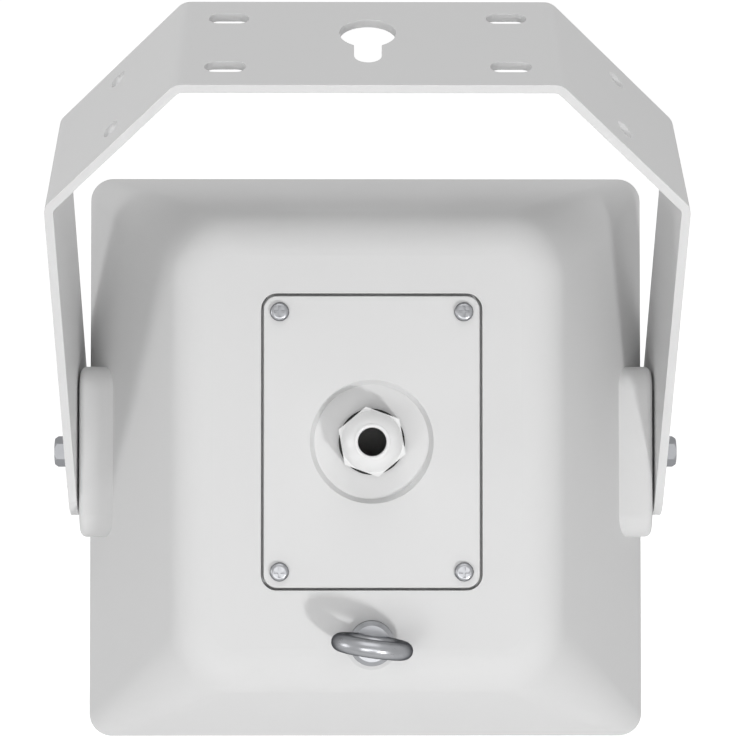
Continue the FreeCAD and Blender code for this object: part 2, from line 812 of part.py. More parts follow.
def make_grille_screws():
    length = grille_sheet + screw_length
    screw = pan_screw(screw_diameter, length, screw_head_diameter, screw_head_height, screw_head_round)
    seat_y = front_y - grille_recess
    return group([placed(screw, V(x, seat_y, y + cabinet_rise), FIRE) for x, y in post_places()])


def driver_screw_places():
    angles = [math.radians(360 * (step + 0.5) / driver_screw_count) for step in range(driver_screw_count)]
    radius = driver_screw_circle / 2
    return [(radius * math.cos(a), radius * math.sin(a)) for a in angles]


def make_baffle():
    """Moulded board with the driver's cut-out and a post for each grille screw."""
    board = panel_bar(panel_gap, baffle_thickness)
    post = boss(post_diameter, sheet_back_y - baffle_back_y)
    board = board.fuse([placed(post, V(x, y, 0), UP) for x, y in post_places()])
    cuts = [Part.makeCylinder(cutout_diameter / 2, baffle_thickness)]
    grille_pilot = pilot(screw_diameter, screw_length)
    cuts += [placed(grille_pilot, V(x, y, sheet_back_y - baffle_back_y), UP) for x, y in post_places()]
    driver_pilot = pilot(screw_diameter, baffle_thickness)
    cuts += [placed(driver_pilot, V(x, y, baffle_thickness), UP) for x, y in driver_screw_places()]
    through = Part.makeCylinder(screw_diameter / 2 + bolt_clearance, baffle_thickness)
    sink = Part.makeCylinder(screw_head_diameter / 2 + bolt_clearance, counterbore_depth)
    for x, y in baffle_screw_places():
        cuts.append(placed(through, V(x, y, 0), UP))
        cuts.append(placed(sink, V(x, y, baffle_thickness - counterbore_depth), UP))
    return at_front(board.cut(cuts), baffle_back_y)


def make_baffle_gasket():
    frame = panel_bar(panel_gap, baffle_gasket).cut(panel_bar(baffle_ledge_width, baffle_gasket))
    hole = Part.makeCylinder(screw_diameter / 2 + bolt_clearance, baffle_gasket)
    frame = frame.cut([placed(hole, V(x, y, 0), UP) for x, y in baffle_screw_places()])
    return at_front(frame, ledge_y)


def make_baffle_screws():
    seat_y = baffle_front_y - counterbore_depth
    length = seat_y - ledge_y + baffle_ledge_depth / 2
    screw = pan_screw(screw_diameter, length, screw_head_diameter, screw_head_height, screw_head_round)
    return group([placed(screw, V(x, seat_y, y + cabinet_rise), FIRE) for x, y in baffle_screw_places()])


# Driver, drawn along +Z with Z as the distance ahead of the pivot

def basket_radius(height):
    """Outer radius of the basket's cone at a height."""
    share = (height - basket_floor_y) / (flange_y - basket_floor_y)
    foot = basket_floor_diameter / 2
    mouth = cutout_diameter / 2 - 2 * panel_gap
    return foot + share * (mouth - foot)


def make_driver_frame():
    """Cast frame: flange, spoked cone, shelf for the spider and floor for the magnet."""
    seat_outer = seat_diameter / 2
    seat_inner = seat_outer - seat_width
    flange_top = flange_y + flange_thickness
    floor_top = basket_floor_y + basket_floor
    shelf_top = shelf_y + shelf_thickness
    hole = basket_hole_diameter / 2
    shelf_inner = shelf_inner_diameter / 2
    cone_top = flange_y - basket_wall
    body = turned([
        (driver_diameter / 2, flange_y),
        (driver_diameter / 2, flange_top),
        (seat_outer, flange_top),
        (seat_outer, seat_y),
        (seat_inner, seat_y),
        (seat_inner, flange_y),
        (basket_radius(cone_top) - basket_wall, cone_top),
        (basket_radius(shelf_top) - basket_wall, shelf_top),
        (shelf_inner, shelf_top),
        (shelf_inner, shelf_y),
        (basket_radius(shelf_y) - basket_wall, shelf_y),
        (basket_radius(floor_top) - basket_wall, floor_top),
        (hole, floor_top),
        (hole, basket_floor_y),
        (basket_radius(basket_floor_y), basket_floor_y),
        (basket_radius(flange_y), flange_y),
    ])
    window_height = cone_top - shelf_top - 2 * window_margin
    window = Part.makeBox(driver_diameter / 2, window_width, window_height,
                          V(shelf_inner, -window_width / 2, shelf_top + window_margin))
    windows = []
    for step in range(window_count):
        cutter = window.copy()
        cutter.rotate(V(0, 0, 0), UP, 360 * step / window_count)
        windows.append(cutter)
    hole_cutter = Part.makeCylinder(screw_diameter / 2 + bolt_clearance, flange_thickness)
    cutters = [placed(hole_cutter, V(x, y, flange_y), UP) for x, y in driver_screw_places()]
    return on_driver_axis(body.cut(windows + cutters))


def make_driver_gasket():
    gasket = ring(cutout_diameter, driver_diameter, driver_gasket)
    hole = Part.makeCylinder(screw_diameter / 2 + bolt_clearance, driver_gasket)
    gasket = gasket.cut([placed(hole, V(x, y, 0), UP) for x, y in driver_screw_places()])
    return at_front(gasket, baffle_front_y)


def make_driver_screws():
    seat_y = flange_y + flange_thickness
    screw = pan_screw(screw_diameter, driver_screw_length, screw_head_diameter,
                      screw_head_height, screw_head_round)
    return group([placed(screw, V(x, seat_y, y + cabinet_rise), FIRE) for x, y in driver_screw_places()])


def make_top_plate():
    plate = ring(2 * (winding_outer + running_gap), top_plate_diameter, top_plate_thickness)
    return at_front(plate, top_plate_y)


def make_magnet():
    return at_front(ring(magnet_hole_diameter, magnet_diameter, magnet_thickness), magnet_y)


def make_back_plate():
    """Steel plate and pole in one piece, bored for the high-frequency throat."""
    throat = throat_diameter / 2
    pole = former_diameter / 2 - running_gap
    edge = back_plate_diameter / 2
    return on_driver_axis(turned([
        (throat, back_plate_y), (edge, back_plate_y), (edge, magnet_y),
        (pole, magnet_y), (pole, basket_floor_y), (throat, basket_floor_y),
    ]))


def cone_lip_radius():
    """Outer radius of the cone's lip, under the surround's inner edge."""
    return seat_diameter / 2 - seat_width - 2 * roll_radius


def make_cone():
    """Straight-sided cone with a flat lip, from the coil former to the surround."""
    lip_outer = cone_lip_radius()
    lip_inner = lip_outer - cone_lip
    lip_top = seat_y - soft_gap
    return on_driver_axis(turned([
        (lip_outer, lip_top), (lip_inner, lip_top), (former_outer, neck_y),
        (former_outer, neck_y - 2 * cone_wall), (lip_inner + cone_wall, lip_top - cone_wall),
        (lip_outer, lip_top - cone_wall),
    ]))


def make_coil_former():
    height = neck_y + former_rise - winding_y
    return at_front(ring(former_diameter, 2 * former_outer, height), winding_y)


def make_coil_winding():
    return at_front(ring(2 * former_outer, 2 * winding_outer, winding_height), winding_y)


def make_surround():
    """Half-roll of rubber between the cone's lip and the frame's seat."""
    outer_edge = seat_diameter / 2 - soft_gap
    roll_outer = seat_diameter / 2 - seat_width
    roll_inner = roll_outer - 2 * roll_radius
    middle = roll_outer - roll_radius
    inner_edge = roll_inner - cone_lip
    under = seat_y
    over = seat_y + surround_wall
    return on_driver_axis(turned_edges([
        line((inner_edge, under), (roll_inner, under)),
        arc((roll_inner, under), (middle, under + roll_radius), (roll_outer, under)),
        line((roll_outer, under), (outer_edge, under)),
        line((outer_edge, under), (outer_edge, over)),
        line((outer_edge, over), (roll_outer + surround_wall, over)),
        arc((roll_outer + surround_wall, over), (middle, over + roll_radius),
            (roll_inner - surround_wall, over)),
        line((roll_inner - surround_wall, over), (inner_edge, over)),
        line((inner_edge, over), (inner_edge, under)),
    ]))


def make_spider():
    """Pleated disc from the coil former to the frame's shelf."""
    base = shelf_y + shelf_thickness
    inner = former_outer + soft_gap
    shelf_edge = shelf_inner_diameter / 2
    steps = 2 * spider_waves
    pleats = []
    for step in range(steps + 1):
        lift = spider_wave if step % 2 else 0.0
        pleats.append((inner + (shelf_edge - inner) * step / steps, base + lift))
    under = pleats + [(shelf_edge + spider_foot, base)]
    over = [(radius, height + spider_wall) for radius, height in reversed(under)]
    return on_driver_axis(turned(under + over))


def make_horn():
    """Flared horn standing on the pole, with a flat foot."""
    throat = throat_diameter / 2
    mouth = horn_mouth_diameter / 2
    foot = horn_foot_diameter / 2
    base = basket_floor_y
    top = base + horn_height
    waist = throat + horn_wall
    middle_radius = horn_middle_diameter / 2
    middle_height = base + horn_middle_height
    start = base + horn_foot_height
    return on_driver_axis(turned_edges([
        line((throat, base), (foot, base)),
        line((foot, base), (foot, start)),
        line((foot, start), (waist, start)),
        arc((waist, start), (middle_radius + horn_wall, middle_height - horn_wall),
            (mouth, top - horn_wall)),
        line((mouth, top - horn_wall), (mouth, top)),
        arc((mouth, top), (middle_radius, middle_height), (throat, start)),
        line((throat, start), (throat, base)),
    ]))


def make_hf_driver():
    edge = hf_diameter / 2
    return on_driver_axis(turned([
        (0, hf_y), (edge - hf_chamfer, hf_y), (edge, hf_y + hf_chamfer),
        (edge, back_plate_y), (0, back_plate_y),
    ]))


def make_hf_cap():
    edge = hf_cap_diameter / 2
    low = hf_y - hf_cap_height
    return on_driver_axis(turned([
        (0, low), (edge - hf_chamfer, low), (edge, low + hf_chamfer), (edge, hf_y), (0, hf_y),
    ]))


# Crossover board and transformer, standing on the cabinet's floor

foot_reach = core_width / 2 + strap_thickness + strap_foot
core_x = inner_corner_radius + core_side_gap + foot_reach - inner_width / 2
board_start = core_x + foot_reach + board_side_gap
board_z = floor_z + standoff_height
parts_z = board_z + board_thickness
coil_pitch = coil_diameter + board_part_gap
capacitor_pitch = capacitor_diameter + board_part_gap
coils_x = board_start + board_margin
capacitors_x = coils_x + coil_count * coil_pitch
resistor_x = capacitors_x + capacitor_count * capacitor_pitch
board_end = resistor_x + resistor_width + board_margin
board_length = board_end - board_start
board_centre_x = (board_start + board_end) / 2


def board_corner_places():
    places = corner_places(board_length - 2 * standoff_inset, board_depth - 2 * standoff_inset)
    return [(x + board_centre_x, y + board_middle) for x, y in places]


def make_crossover_board():
    board = box(board_length, board_depth, board_thickness)
    board = placed(board, V(board_centre_x, board_middle, board_z), UP)
    hole = Part.makeCylinder(board_screw_diameter / 2 + thread_gap, board_thickness)
    return board.cut([placed(hole, V(x, y, board_z), UP) for x, y in board_corner_places()])


def make_board_standoffs():
    standoff = hexagon(standoff_diameter, standoff_height)
    standoff = standoff.cut(Part.makeCylinder(board_screw_diameter / 2 + thread_gap, standoff_height))
    return group([placed(standoff, V(x, y, floor_z), UP) for x, y in board_corner_places()])


def small_screw(length):
    """Small dome-head screw, its head's seat at Z = 0 and its shank below."""
    head = Part.makeCylinder(board_screw_head / 2, board_screw_head_height)
    head = head.makeFillet(board_screw_head_height / 2, edges_at_height(head, board_screw_head_height))
    return head.fuse(Part.makeCylinder(board_screw_diameter / 2, length, V(0, 0, -length)))


def make_board_screws():
    screw = small_screw(board_thickness + standoff_height / 2)
    return group([placed(screw, V(x, y, parts_z), UP) for x, y in board_corner_places()])


def make_crossover_coils():
    coil = ring(coil_hole_diameter, coil_diameter, coil_height)
    places = [coils_x + coil_diameter / 2 + step * coil_pitch for step in range(coil_count)]
    return group([placed(coil, V(x, board_middle, parts_z), UP) for x in places])


def make_crossover_capacitors():
    """Capacitors lying across the board on a flattened side."""
    round_body = Part.makeCylinder(capacitor_diameter / 2, capacitor_length)
    round_body = round_body.makeChamfer(capacitor_edge, edges_at_height(round_body, capacitor_length))
    sink = capacitor_diameter / 2 - soft_gap
    flat = box(capacitor_diameter, capacitor_diameter, capacitor_length)
    flat.translate(V(0, sink + capacitor_diameter / 2, 0))
    body = round_body.cut(flat)
    start_y = board_middle - capacitor_length / 2
    first_x = capacitors_x + capacitor_diameter / 2
    places = [first_x + step * capacitor_pitch for step in range(capacitor_count)]
    return group([placed(body, V(x, start_y, parts_z + sink), FIRE) for x in places])


def make_crossover_resistor():
    body = box(resistor_width, resistor_length, resistor_width)
    return placed(body, V(resistor_x + resistor_width / 2, board_middle, parts_z), UP)


def at_core(shape, rise):
    """A shape drawn along +Z, stood on the cabinet's floor at the transformer's place."""
    return placed(shape, V(core_x, core_middle, floor_z + rise), UP)


def make_transformer_core():
    """Stack of E and I laminations with a window on each side of the middle leg."""
    core = box(core_width, core_stack, core_height)
    window = box(core_window_width, core_stack, core_window_height)
    reach = (core_leg + core_window_width) / 2
    base = (core_height - core_window_height) / 2
    windows = [placed(window, V(side * reach, 0, base), UP) for side in (-1, 1)]
    return at_core(core.cut(windows), 0)


def make_transformer_winding():
    """Winding round the core's middle leg, with rounded corners where it overhangs the stack."""
    height = core_window_height - 2 * winding_gap
    width = core_leg + 2 * core_window_width - 2 * winding_gap
    depth = core_stack + 2 * winding_overhang
    coil = block(width, depth, core_window_width / 2, height)
    leg = box(core_leg + 2 * winding_gap, core_stack + 2 * winding_gap, height)
    return at_core(coil.cut(leg), (core_height - core_window_height) / 2 + winding_gap)


def make_transformer_strap():
    """Folded steel strap over the core, with a screwed foot at each end."""
    outer = box(core_width + 2 * strap_thickness, strap_depth, core_height + strap_thickness)
    strap = outer.cut(box(core_width, strap_depth, core_height))
    foot = box(strap_foot, strap_depth, strap_thickness)
    reach = strap_screw_reach()
    feet = [placed(foot, V(side * reach, 0, 0), UP) for side in (-1, 1)]
    hole = Part.makeCylinder(board_screw_diameter / 2 + bolt_clearance, strap_thickness)
    holes = [placed(hole, V(side * reach, 0, 0), UP) for side in (-1, 1)]
    return at_core(strap.fuse(feet).cut(holes), 0)


def strap_screw_reach():
    return foot_reach - strap_foot / 2


def make_strap_screws():
    screw = small_screw(strap_screw_length)
    reach = strap_screw_reach()
    return group([at_core(placed(screw, V(side * reach, 0, strap_thickness), UP), 0) for side in (-1, 1)])


# Terminal block and tap selector, standing on the pocket's floor and pointing backwards

def make_terminal_block():
    """Barrier strip with a step along both sides and a raised wall between poles."""
    rail = box(block_length, block_depth, block_height - block_step)
    barrier = box(barrier_width, block_depth, block_height)
    places = [(step - pole_count / 2) * pole_pitch for step in range(pole_count + 1)]
    body = rail.fuse([placed(barrier, V(x, 0, 0), UP) for x in places])
    return on_back(body, cover_side, pocket_floor_y, cover_rise - block_drop)


def make_terminal_screws():
    screw = Part.makeCylinder(terminal_screw_diameter / 2, terminal_screw_height)
    slot = box(terminal_screw_diameter, cross_width, cross_width)
    slot.translate(V(0, 0, terminal_screw_height - cross_width))
    screw = screw.cut(slot)
    seat_y = pocket_floor_y - (block_height - block_step)
    places = [cover_side + (step - (pole_count - 1) / 2) * pole_pitch for step in range(pole_count)]
    row = block_depth / 4
    middle_z = cover_rise - block_drop
    return group([on_back(screw, x, seat_y, middle_z + side * row) for x in places for side in (-1, 1)])


def on_selector(shape, y, direction):
    return placed(shape, V(cover_side, y, cover_rise + selector_rise), direction)


def make_selector_body():
    """Switch body behind the pocket's floor, with a threaded bushing through it."""
    length = cup_wall + bushing_height
    case = Part.makeCylinder(selector_diameter / 2, selector_height, V(0, 0, -selector_height))
    bushing = Part.makeCylinder(bushing_diameter / 2, length)
    bore = Part.makeCylinder(shaft_diameter / 2 + shaft_gap, length)
    return on_selector(case.fuse(bushing).cut(bore), cup_back_y, BACK)


def make_selector_nut():
    nut = hexagon(selector_nut_flats, selector_nut_height)
    nut = nut.cut(Part.makeCylinder(bushing_diameter / 2 + thread_gap, selector_nut_height))
    return on_selector(nut, pocket_floor_y, BACK)


def make_selector_knob():
    """Knob with a pointer slot on its face and its shaft below it."""
    knob = Part.makeCylinder(knob_diameter / 2, knob_height)
    knob = knob.makeFillet(knob_edge_radius, edges_at_height(knob, knob_height))
    pointer = Part.makeBox(pointer_width, knob_diameter, pointer_depth,
                           V(-pointer_width / 2, 0, knob_height - pointer_depth))
    shaft_length = bushing_height + cup_wall
    shaft = Part.makeCylinder(shaft_diameter / 2, shaft_length, V(0, 0, -shaft_length))
    knob = knob.cut(pointer).fuse(shaft)
    return on_selector(knob, pocket_floor_y - bushing_height - shaft_gap, BACK)


def aimed(shape):
    """A shape of the cabinet, turned down by the aim and hung on the bracket's pivot."""
    copy = shape.copy()
    turn = FreeCAD.Placement(V(0, 0, pivot_z), FreeCAD.Rotation(RIGHT, -aim_down))
    copy.Placement = turn.multiply(shape.Placement)
    return copy


cabinet_parts = {
    "cabinet": make_cabinet(),
    "pivot_inserts": pivot_pair(placed(make_insert(), V(0, 0, -insert_length), UP), pad_face_x),
    "pivot_bolts": make_pivot_bolts(),
    "pivot_spring_washers": make_pivot_spring_washers(),
    "pivot_flat_washers": make_pivot_flat_washers(),
    "pivot_spacers": make_pivot_spacers(),
    "terminal_cover": make_terminal_cover(),
    "cover_gasket": make_cover_gasket(),
    "cover_screws": make_cover_screws(),
    "gland_body": make_gland_body(),
    "gland_ring": make_gland_ring(),
    "gland_locknut": make_gland_locknut(),
    "gland_dome_nut": make_gland_dome_nut(),
    "gland_seal": make_gland_seal(),
    "safety_eyebolt": make_safety_eyebolt(),
    "eyebolt_insert": make_eyebolt_insert(),
    "grille": make_grille(),
    "grille_foam": make_grille_foam(),
    "grille_screws": make_grille_screws(),
    "baffle": make_baffle(),
    "baffle_gasket": make_baffle_gasket(),
    "baffle_screws": make_baffle_screws(),
    "driver_frame": make_driver_frame(),
    "driver_gasket": make_driver_gasket(),
    "driver_screws": make_driver_screws(),
    "top_plate": make_top_plate(),
    "magnet": make_magnet(),
    "back_plate": make_back_plate(),
    "cone": make_cone(),
    "coil_former": make_coil_former(),
    "coil_winding": make_coil_winding(),
    "surround": make_surround(),
    "spider": make_spider(),
    "horn": make_horn(),
    "hf_driver": make_hf_driver(),
    "hf_cap": make_hf_cap(),
    "crossover_board": make_crossover_board(),
    "board_standoffs": make_board_standoffs(),
    "board_screws": make_board_screws(),
    "crossover_coils": make_crossover_coils(),
    "crossover_capacitors": make_crossover_capacitors(),
    "crossover_resistor": make_crossover_resistor(),
    "transformer_core": make_transformer_core(),
    "transformer_winding": make_transformer_winding(),
    "transformer_strap": make_transformer_strap(),
    "strap_screws": make_strap_screws(),
    "terminal_block": make_terminal_block(),
    "terminal_screws": make_terminal_screws(),
    "selector_body": make_selector_body(),
    "selector_nut": make_selector_nut(),
    "selector_knob": make_selector_knob(),
}

os.makedirs("parts", exist_ok=True)
make_bracket().exportStep("parts/u_bracket.step")
for name, shape in cabinet_parts.items():
    aimed(shape).exportStep("parts/" + name + ".step")
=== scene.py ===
"""Finishes, grille, foam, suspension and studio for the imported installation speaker.
Sizes are metres, in the CAD's frame."""

import json
import math

import bpy
import numpy as np
from bpy.props import FloatProperty, FloatVectorProperty, PointerProperty
from mathutils import Matrix, Quaternion, Vector


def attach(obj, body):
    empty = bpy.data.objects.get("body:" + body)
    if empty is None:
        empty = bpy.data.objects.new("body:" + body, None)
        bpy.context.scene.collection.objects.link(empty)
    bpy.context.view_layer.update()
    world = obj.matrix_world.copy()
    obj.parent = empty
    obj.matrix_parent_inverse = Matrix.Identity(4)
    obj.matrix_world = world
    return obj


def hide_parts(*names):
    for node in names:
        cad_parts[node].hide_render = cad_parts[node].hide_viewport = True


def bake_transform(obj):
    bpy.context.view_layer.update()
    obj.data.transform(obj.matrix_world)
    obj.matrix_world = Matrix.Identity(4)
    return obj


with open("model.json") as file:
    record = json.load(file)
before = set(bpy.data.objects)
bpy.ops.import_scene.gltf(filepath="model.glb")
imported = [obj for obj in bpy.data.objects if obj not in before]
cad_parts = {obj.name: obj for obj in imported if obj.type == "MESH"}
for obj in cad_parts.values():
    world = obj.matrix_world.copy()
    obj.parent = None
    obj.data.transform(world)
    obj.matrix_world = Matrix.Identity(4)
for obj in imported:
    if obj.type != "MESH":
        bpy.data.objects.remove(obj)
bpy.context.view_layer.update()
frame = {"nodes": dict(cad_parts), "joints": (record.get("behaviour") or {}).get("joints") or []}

bl_info = {
    "name": "Installation speaker",
    "version": (1, 0, 0),
    "blender": (4, 5, 0),
    "location": "View3D > Sidebar > Speaker",
    "description": "Finishes, perforated grille, suspension and studio for an installation speaker",
    "category": "Object",
}

MM = 0.001

# Edges sharper than this stay crisp
SHARP_EDGE = math.radians(35)

# Steps of the worked-out surfaces
FOLD_STEPS = 3
FOAM_STEPS = 64
ROLL_STEPS = 12
SPIDER_STEPS = 32
SECTOR_STEPS = 6

# The foam's dimples fade out over one part of this many from its edge to its middle
FOAM_FADE_PARTS = 12

SURROUND_SECTORS = 12
SPIDER_SECTORS = 8
SPIDER_WAVES = 4

# Length after which a wave texture of scale 1 repeats
WAVE_LENGTH = math.pi / 10

# Sockets of a Mix node that hold its two colours, and the one that gives their mix
MIX_FIRST, MIX_SECOND, MIX_RESULT = 6, 7, 2

# The cabinet hangs turned on the bracket's pivot, so its own level frame comes from two of the joints
JOINTS = {joint["name"]: joint for joint in frame["joints"]}
PIVOT = Vector(JOINTS["cabinet_tilt"]["pos_m"])
FIRE = Vector(JOINTS["cone_travel"]["axis"])
AIM = math.atan2(FIRE.z, FIRE.y)
LEVEL = Matrix.Translation(PIVOT) @ Matrix.Rotation(AIM, 4, "X")
LEVEL_TURN = LEVEL.to_3x3()

# Square lamps: width, distance from the pivot and direction, the first three set out in the level frame
LAMPS = {
    "camera_lamp": (0.6, 1.6, LEVEL_TURN @ Vector((0.0, -1.0, -0.2))),
    "key_lamp": (0.12, 1.6, LEVEL_TURN @ Vector((0.46, -1.0, -0.54))),
    "low_left_lamp": (0.5, 1.6, LEVEL_TURN @ Vector((-0.36, -1.0, -0.36))),
    "left_lamp": (0.6, 1.6, Vector((-1.0, -0.2, 0.1))),
    "top_lamp": (1.2, 1.6, Vector((0.0, 0.0, 1.0))),
    "front_lamp": (0.5, 0.8, Vector((0.0, 0.85, -0.5))),
}

# Half width of the band in which the sky's two halves blend, as the cosine from the driver's axis
SKY_BLEND = 0.3

# White that the floor shows besides the light that falls on it
FLOOR_GLOW = 0.8


def linear(code):
    """Linear RGBA of an sRGB hex value."""
    parts = np.array([int(code[start:start + 2], 16) for start in (1, 3, 5)]) / 255
    toe = parts / 12.92
    curve = ((parts + 0.055) / 1.055) ** 2.4
    return (*np.where(parts <= 0.04045, toe, curve).tolist(), 1.0)


def level_box(name):
    """Lowest and highest corner of a CAD node in the cabinet's level frame."""
    mesh = frame["nodes"][name].data
    points = np.zeros(len(mesh.vertices) * 3)
    mesh.vertices.foreach_get("co", points)
    turn = np.array(LEVEL.inverted())
    points = points.reshape(-1, 3) @ turn[:3, :3].T + turn[:3, 3]
    return points.min(0), points.max(0)


def new_piece(name, points, faces, material, stands_for):
    """A mesh object at the origin from level-frame points, smooth across soft edges, for a CAD node."""
    turn = np.array(LEVEL)
    placed = points @ turn[:3, :3].T + turn[:3, 3]
    mesh = bpy.data.meshes.new(name)
    mesh.from_pydata(placed.tolist(), [], faces)
    mesh.materials.append(material)
    mesh.validate()
    mesh.shade_smooth()
    mesh.set_sharp_from_angle(angle=SHARP_EDGE)
    piece = bpy.data.objects.new(name, mesh)
    bpy.context.scene.collection.objects.link(piece)
    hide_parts(stands_for)
    return piece


def dress(material, *names):
    """Give CAD nodes a material, leaving their meshes as they are."""
    for name in names:
        slots = frame["nodes"][name].data.materials
        slots.clear()
        slots.append(material)


# Materials

def node(tree, kind, inputs, **settings):
    """Add a node, set its options, and set or link each of its inputs."""
    made = tree.nodes.new(kind)
    for key, value in settings.items():
        setattr(made, key, value)
    for key, value in inputs.items():
        if isinstance(value, bpy.types.NodeSocket):
            tree.links.new(value, made.inputs[key])
        else:
            made.inputs[key].default_value = value
    return made


def new_finish(name, colour, sockets):
    """A material of one Principled shader, with what is the same all over set on the shader's own sockets."""
    material = bpy.data.materials.new(name)
    material.use_nodes = True
    material.diffuse_color = colour
    tree = material.node_tree
    tree.nodes.clear()
    shader = node(tree, "ShaderNodeBsdfPrincipled", {"Base Color": colour, **sockets})
    node(tree, "ShaderNodeOutputMaterial", {"Surface": shader.outputs["BSDF"]})
    place = node(tree, "ShaderNodeTexCoord", {}).outputs["Object"]
    return material, tree, shader, place


def shade(colour, amount):
    """A colour made lighter or darker by a share."""
    return (*[min(1.0, part * amount) for part in colour[:3]], 1.0)


def vary(tree, shader, colour, tint, gloss, relief):
    """Carry patterns from 0 to 1 into a shader. tint is a pattern and the shares of the colour at its ends,
    gloss a pattern and the roughness at its ends, and relief a pattern and its height in metres."""
    pattern, dark, light = tint
    mix = node(tree, "ShaderNodeMix",
               {"Factor": pattern, MIX_FIRST: shade(colour, dark), MIX_SECOND: shade(colour, light)},
               data_type="RGBA")
    pattern, smooth, rough = gloss
    span = node(tree, "ShaderNodeMapRange", {"Value": pattern, "To Min": smooth, "To Max": rough})
    pattern, height = relief
    bump = node(tree, "ShaderNodeBump", {"Height": pattern, "Distance": height, "Strength": 1.0})
    tree.links.new(mix.outputs[MIX_RESULT], shader.inputs["Base Color"])
    tree.links.new(span.outputs["Result"], shader.inputs["Roughness"])
    tree.links.new(bump.outputs["Normal"], shader.inputs["Normal"])


def powder_coat(name, colour):
    """Polyester powder on steel, sprayed and baked: a low even sheen over a faint orange peel 1.4 mm across,
    with clouds 70 mm across in its colour and sheen."""
    material, tree, shader, place = new_finish(name, colour, {"Roughness": 0.6, "IOR": 1.5})
    peel = node(tree, "ShaderNodeTexNoise", {"Vector": place, "Scale": 1 / (1.4 * MM), "Detail": 1.0})
    cloud = node(tree, "ShaderNodeTexNoise", {"Vector": place, "Scale": 1 / (70 * MM), "Detail": 3.0})
    vary(tree, shader, colour, tint=(cloud.outputs["Fac"], 0.985, 1.015),
         gloss=(cloud.outputs["Fac"], 0.54, 0.66), relief=(peel.outputs["Fac"], 0.006 * MM))
    return material


def moulded_abs(name, colour):
    """ABS, moulded in a spark-eroded tool: matt, with a fine even grain and faint flow marks 110 mm across.
    The real grain is about 0.3 mm and is drawn at 0.8 mm so that it shows."""
    material, tree, shader, place = new_finish(name, colour, {"Roughness": 0.75, "IOR": 1.5})
    grain = node(tree, "ShaderNodeTexNoise", {"Vector": place, "Scale": 1 / (0.8 * MM), "Detail": 2.0})
    flow = node(tree, "ShaderNodeTexNoise", {"Vector": place, "Scale": 1 / (110 * MM), "Detail": 2.0})
    vary(tree, shader, colour, tint=(flow.outputs["Fac"], 0.985, 1.015),
         gloss=(grain.outputs["Fac"], 0.68, 0.82), relief=(grain.outputs["Fac"], 0.006 * MM))
    return material


def moulded_nylon(name, colour):
    """Polyamide, moulded in a polished tool: smoother and a little shinier than the cabinet, with a skin that
    varies every 4 mm."""
    material, tree, shader, place = new_finish(name, colour, {"Roughness": 0.32, "IOR": 1.53})
    skin = node(tree, "ShaderNodeTexNoise",
                {"Vector": place, "Scale": 1 / (4 * MM), "Detail": 2.0}).outputs["Fac"]
    vary(tree, shader, colour, tint=(skin, 0.97, 1.02), gloss=(skin, 0.26, 0.38), relief=(skin, 0.01 * MM))
    return material


def zinc_plate(name, colour, smooth, rough):
    """Zinc-plated steel, tumbled in the bath: bright cool metal with cloudy patches 5 mm across and hairline
    scratches 4 mm long and 0.5 mm wide. Its edge tint is held dark as a painted dark reflection at grazing
    angles, so a ring's rim doesn't fade into white."""
    # The dark specular tint paints a dark reflection onto the rims, where the surroundings would reflect
    # white
    material, tree, shader, place = new_finish(
        name, colour, {"Metallic": 1.0, "Roughness": smooth, "Specular Tint": shade(colour, 0.35)})
    cloud = node(tree, "ShaderNodeTexNoise",
                 {"Vector": place, "Scale": 1 / (5 * MM), "Detail": 4.0}).outputs["Fac"]
    stretch = node(tree, "ShaderNodeMapping", {"Vector": place, "Scale": (1.0, 8.0, 8.0)}).outputs["Vector"]
    hairs = node(tree, "ShaderNodeTexNoise", {"Vector": stretch, "Scale": 1 / (4 * MM), "Detail": 2.0})
    vary(tree, shader, colour, tint=(cloud, 0.88, 1.06), gloss=(cloud, smooth, rough),
         relief=(hairs.outputs["Fac"], 0.006 * MM))
    return material


def turned_brass(name, colour):
    """Brass, turned from bar: yellow metal with tool rings. Real ones are about 0.3 mm apart, and these are
    drawn 1.9 mm apart, WAVE_LENGTH times 6 mm, so that they show."""
    material, tree, shader, place = new_finish(name, colour, {"Metallic": 1.0, "Roughness": 0.3})
    rings = node(tree, "ShaderNodeTexWave", {"Vector": place, "Scale": 1 / (6 * MM), "Distortion": 1.0},
                 wave_type="RINGS").outputs["Fac"]
    vary(tree, shader, colour, tint=(rings, 0.9, 1.05), gloss=(rings, 0.25, 0.38), relief=(rings, 0.008 * MM))
    return material


def filled_skin(name, colour, speckle, smooth, rough, height):
    """Rubber, moulding compound or film: one plain colour with a speckle of its filler, under a skin that is
    matt on rubber, satin on mouldings and shiny on film."""
    material, tree, shader, place = new_finish(name, colour, {"Roughness": rough, "IOR": 1.52})
    filler = node(tree, "ShaderNodeTexNoise",
                  {"Vector": place, "Scale": 1 / speckle, "Detail": 3.0}).outputs["Fac"]
    vary(tree, shader, colour, tint=(filler, 0.8, 1.25), gloss=(filler, smooth, rough),
         relief=(filler, height))
    return material


def moulded_rubber(name, colour):
    """Moulded rubber for gaskets, seals and the surround: dull, with a filler 0.9 mm across."""
    return filled_skin(name, colour, 0.9 * MM, 0.6, 0.8, 0.02 * MM)


def open_cell_foam(name, colour):
    """Polyether foam with open cells 1.2 mm across: dull black, pitted all over."""
    material, tree, shader, place = new_finish(
        name, colour, {"Roughness": 0.95, "IOR": 1.4, "Sheen Weight": 0.2})
    cells = node(tree, "ShaderNodeTexVoronoi", {"Vector": place, "Scale": 1 / (1.2 * MM)}).outputs["Distance"]
    # Painted shade: the pits of the cells are painted darker and the ridges between them lighter, following
    # the relief
    vary(tree, shader, colour, tint=(cells, 0.4, 1.5), gloss=(cells, 0.85, 1.0), relief=(cells, 0.4 * MM))
    return material


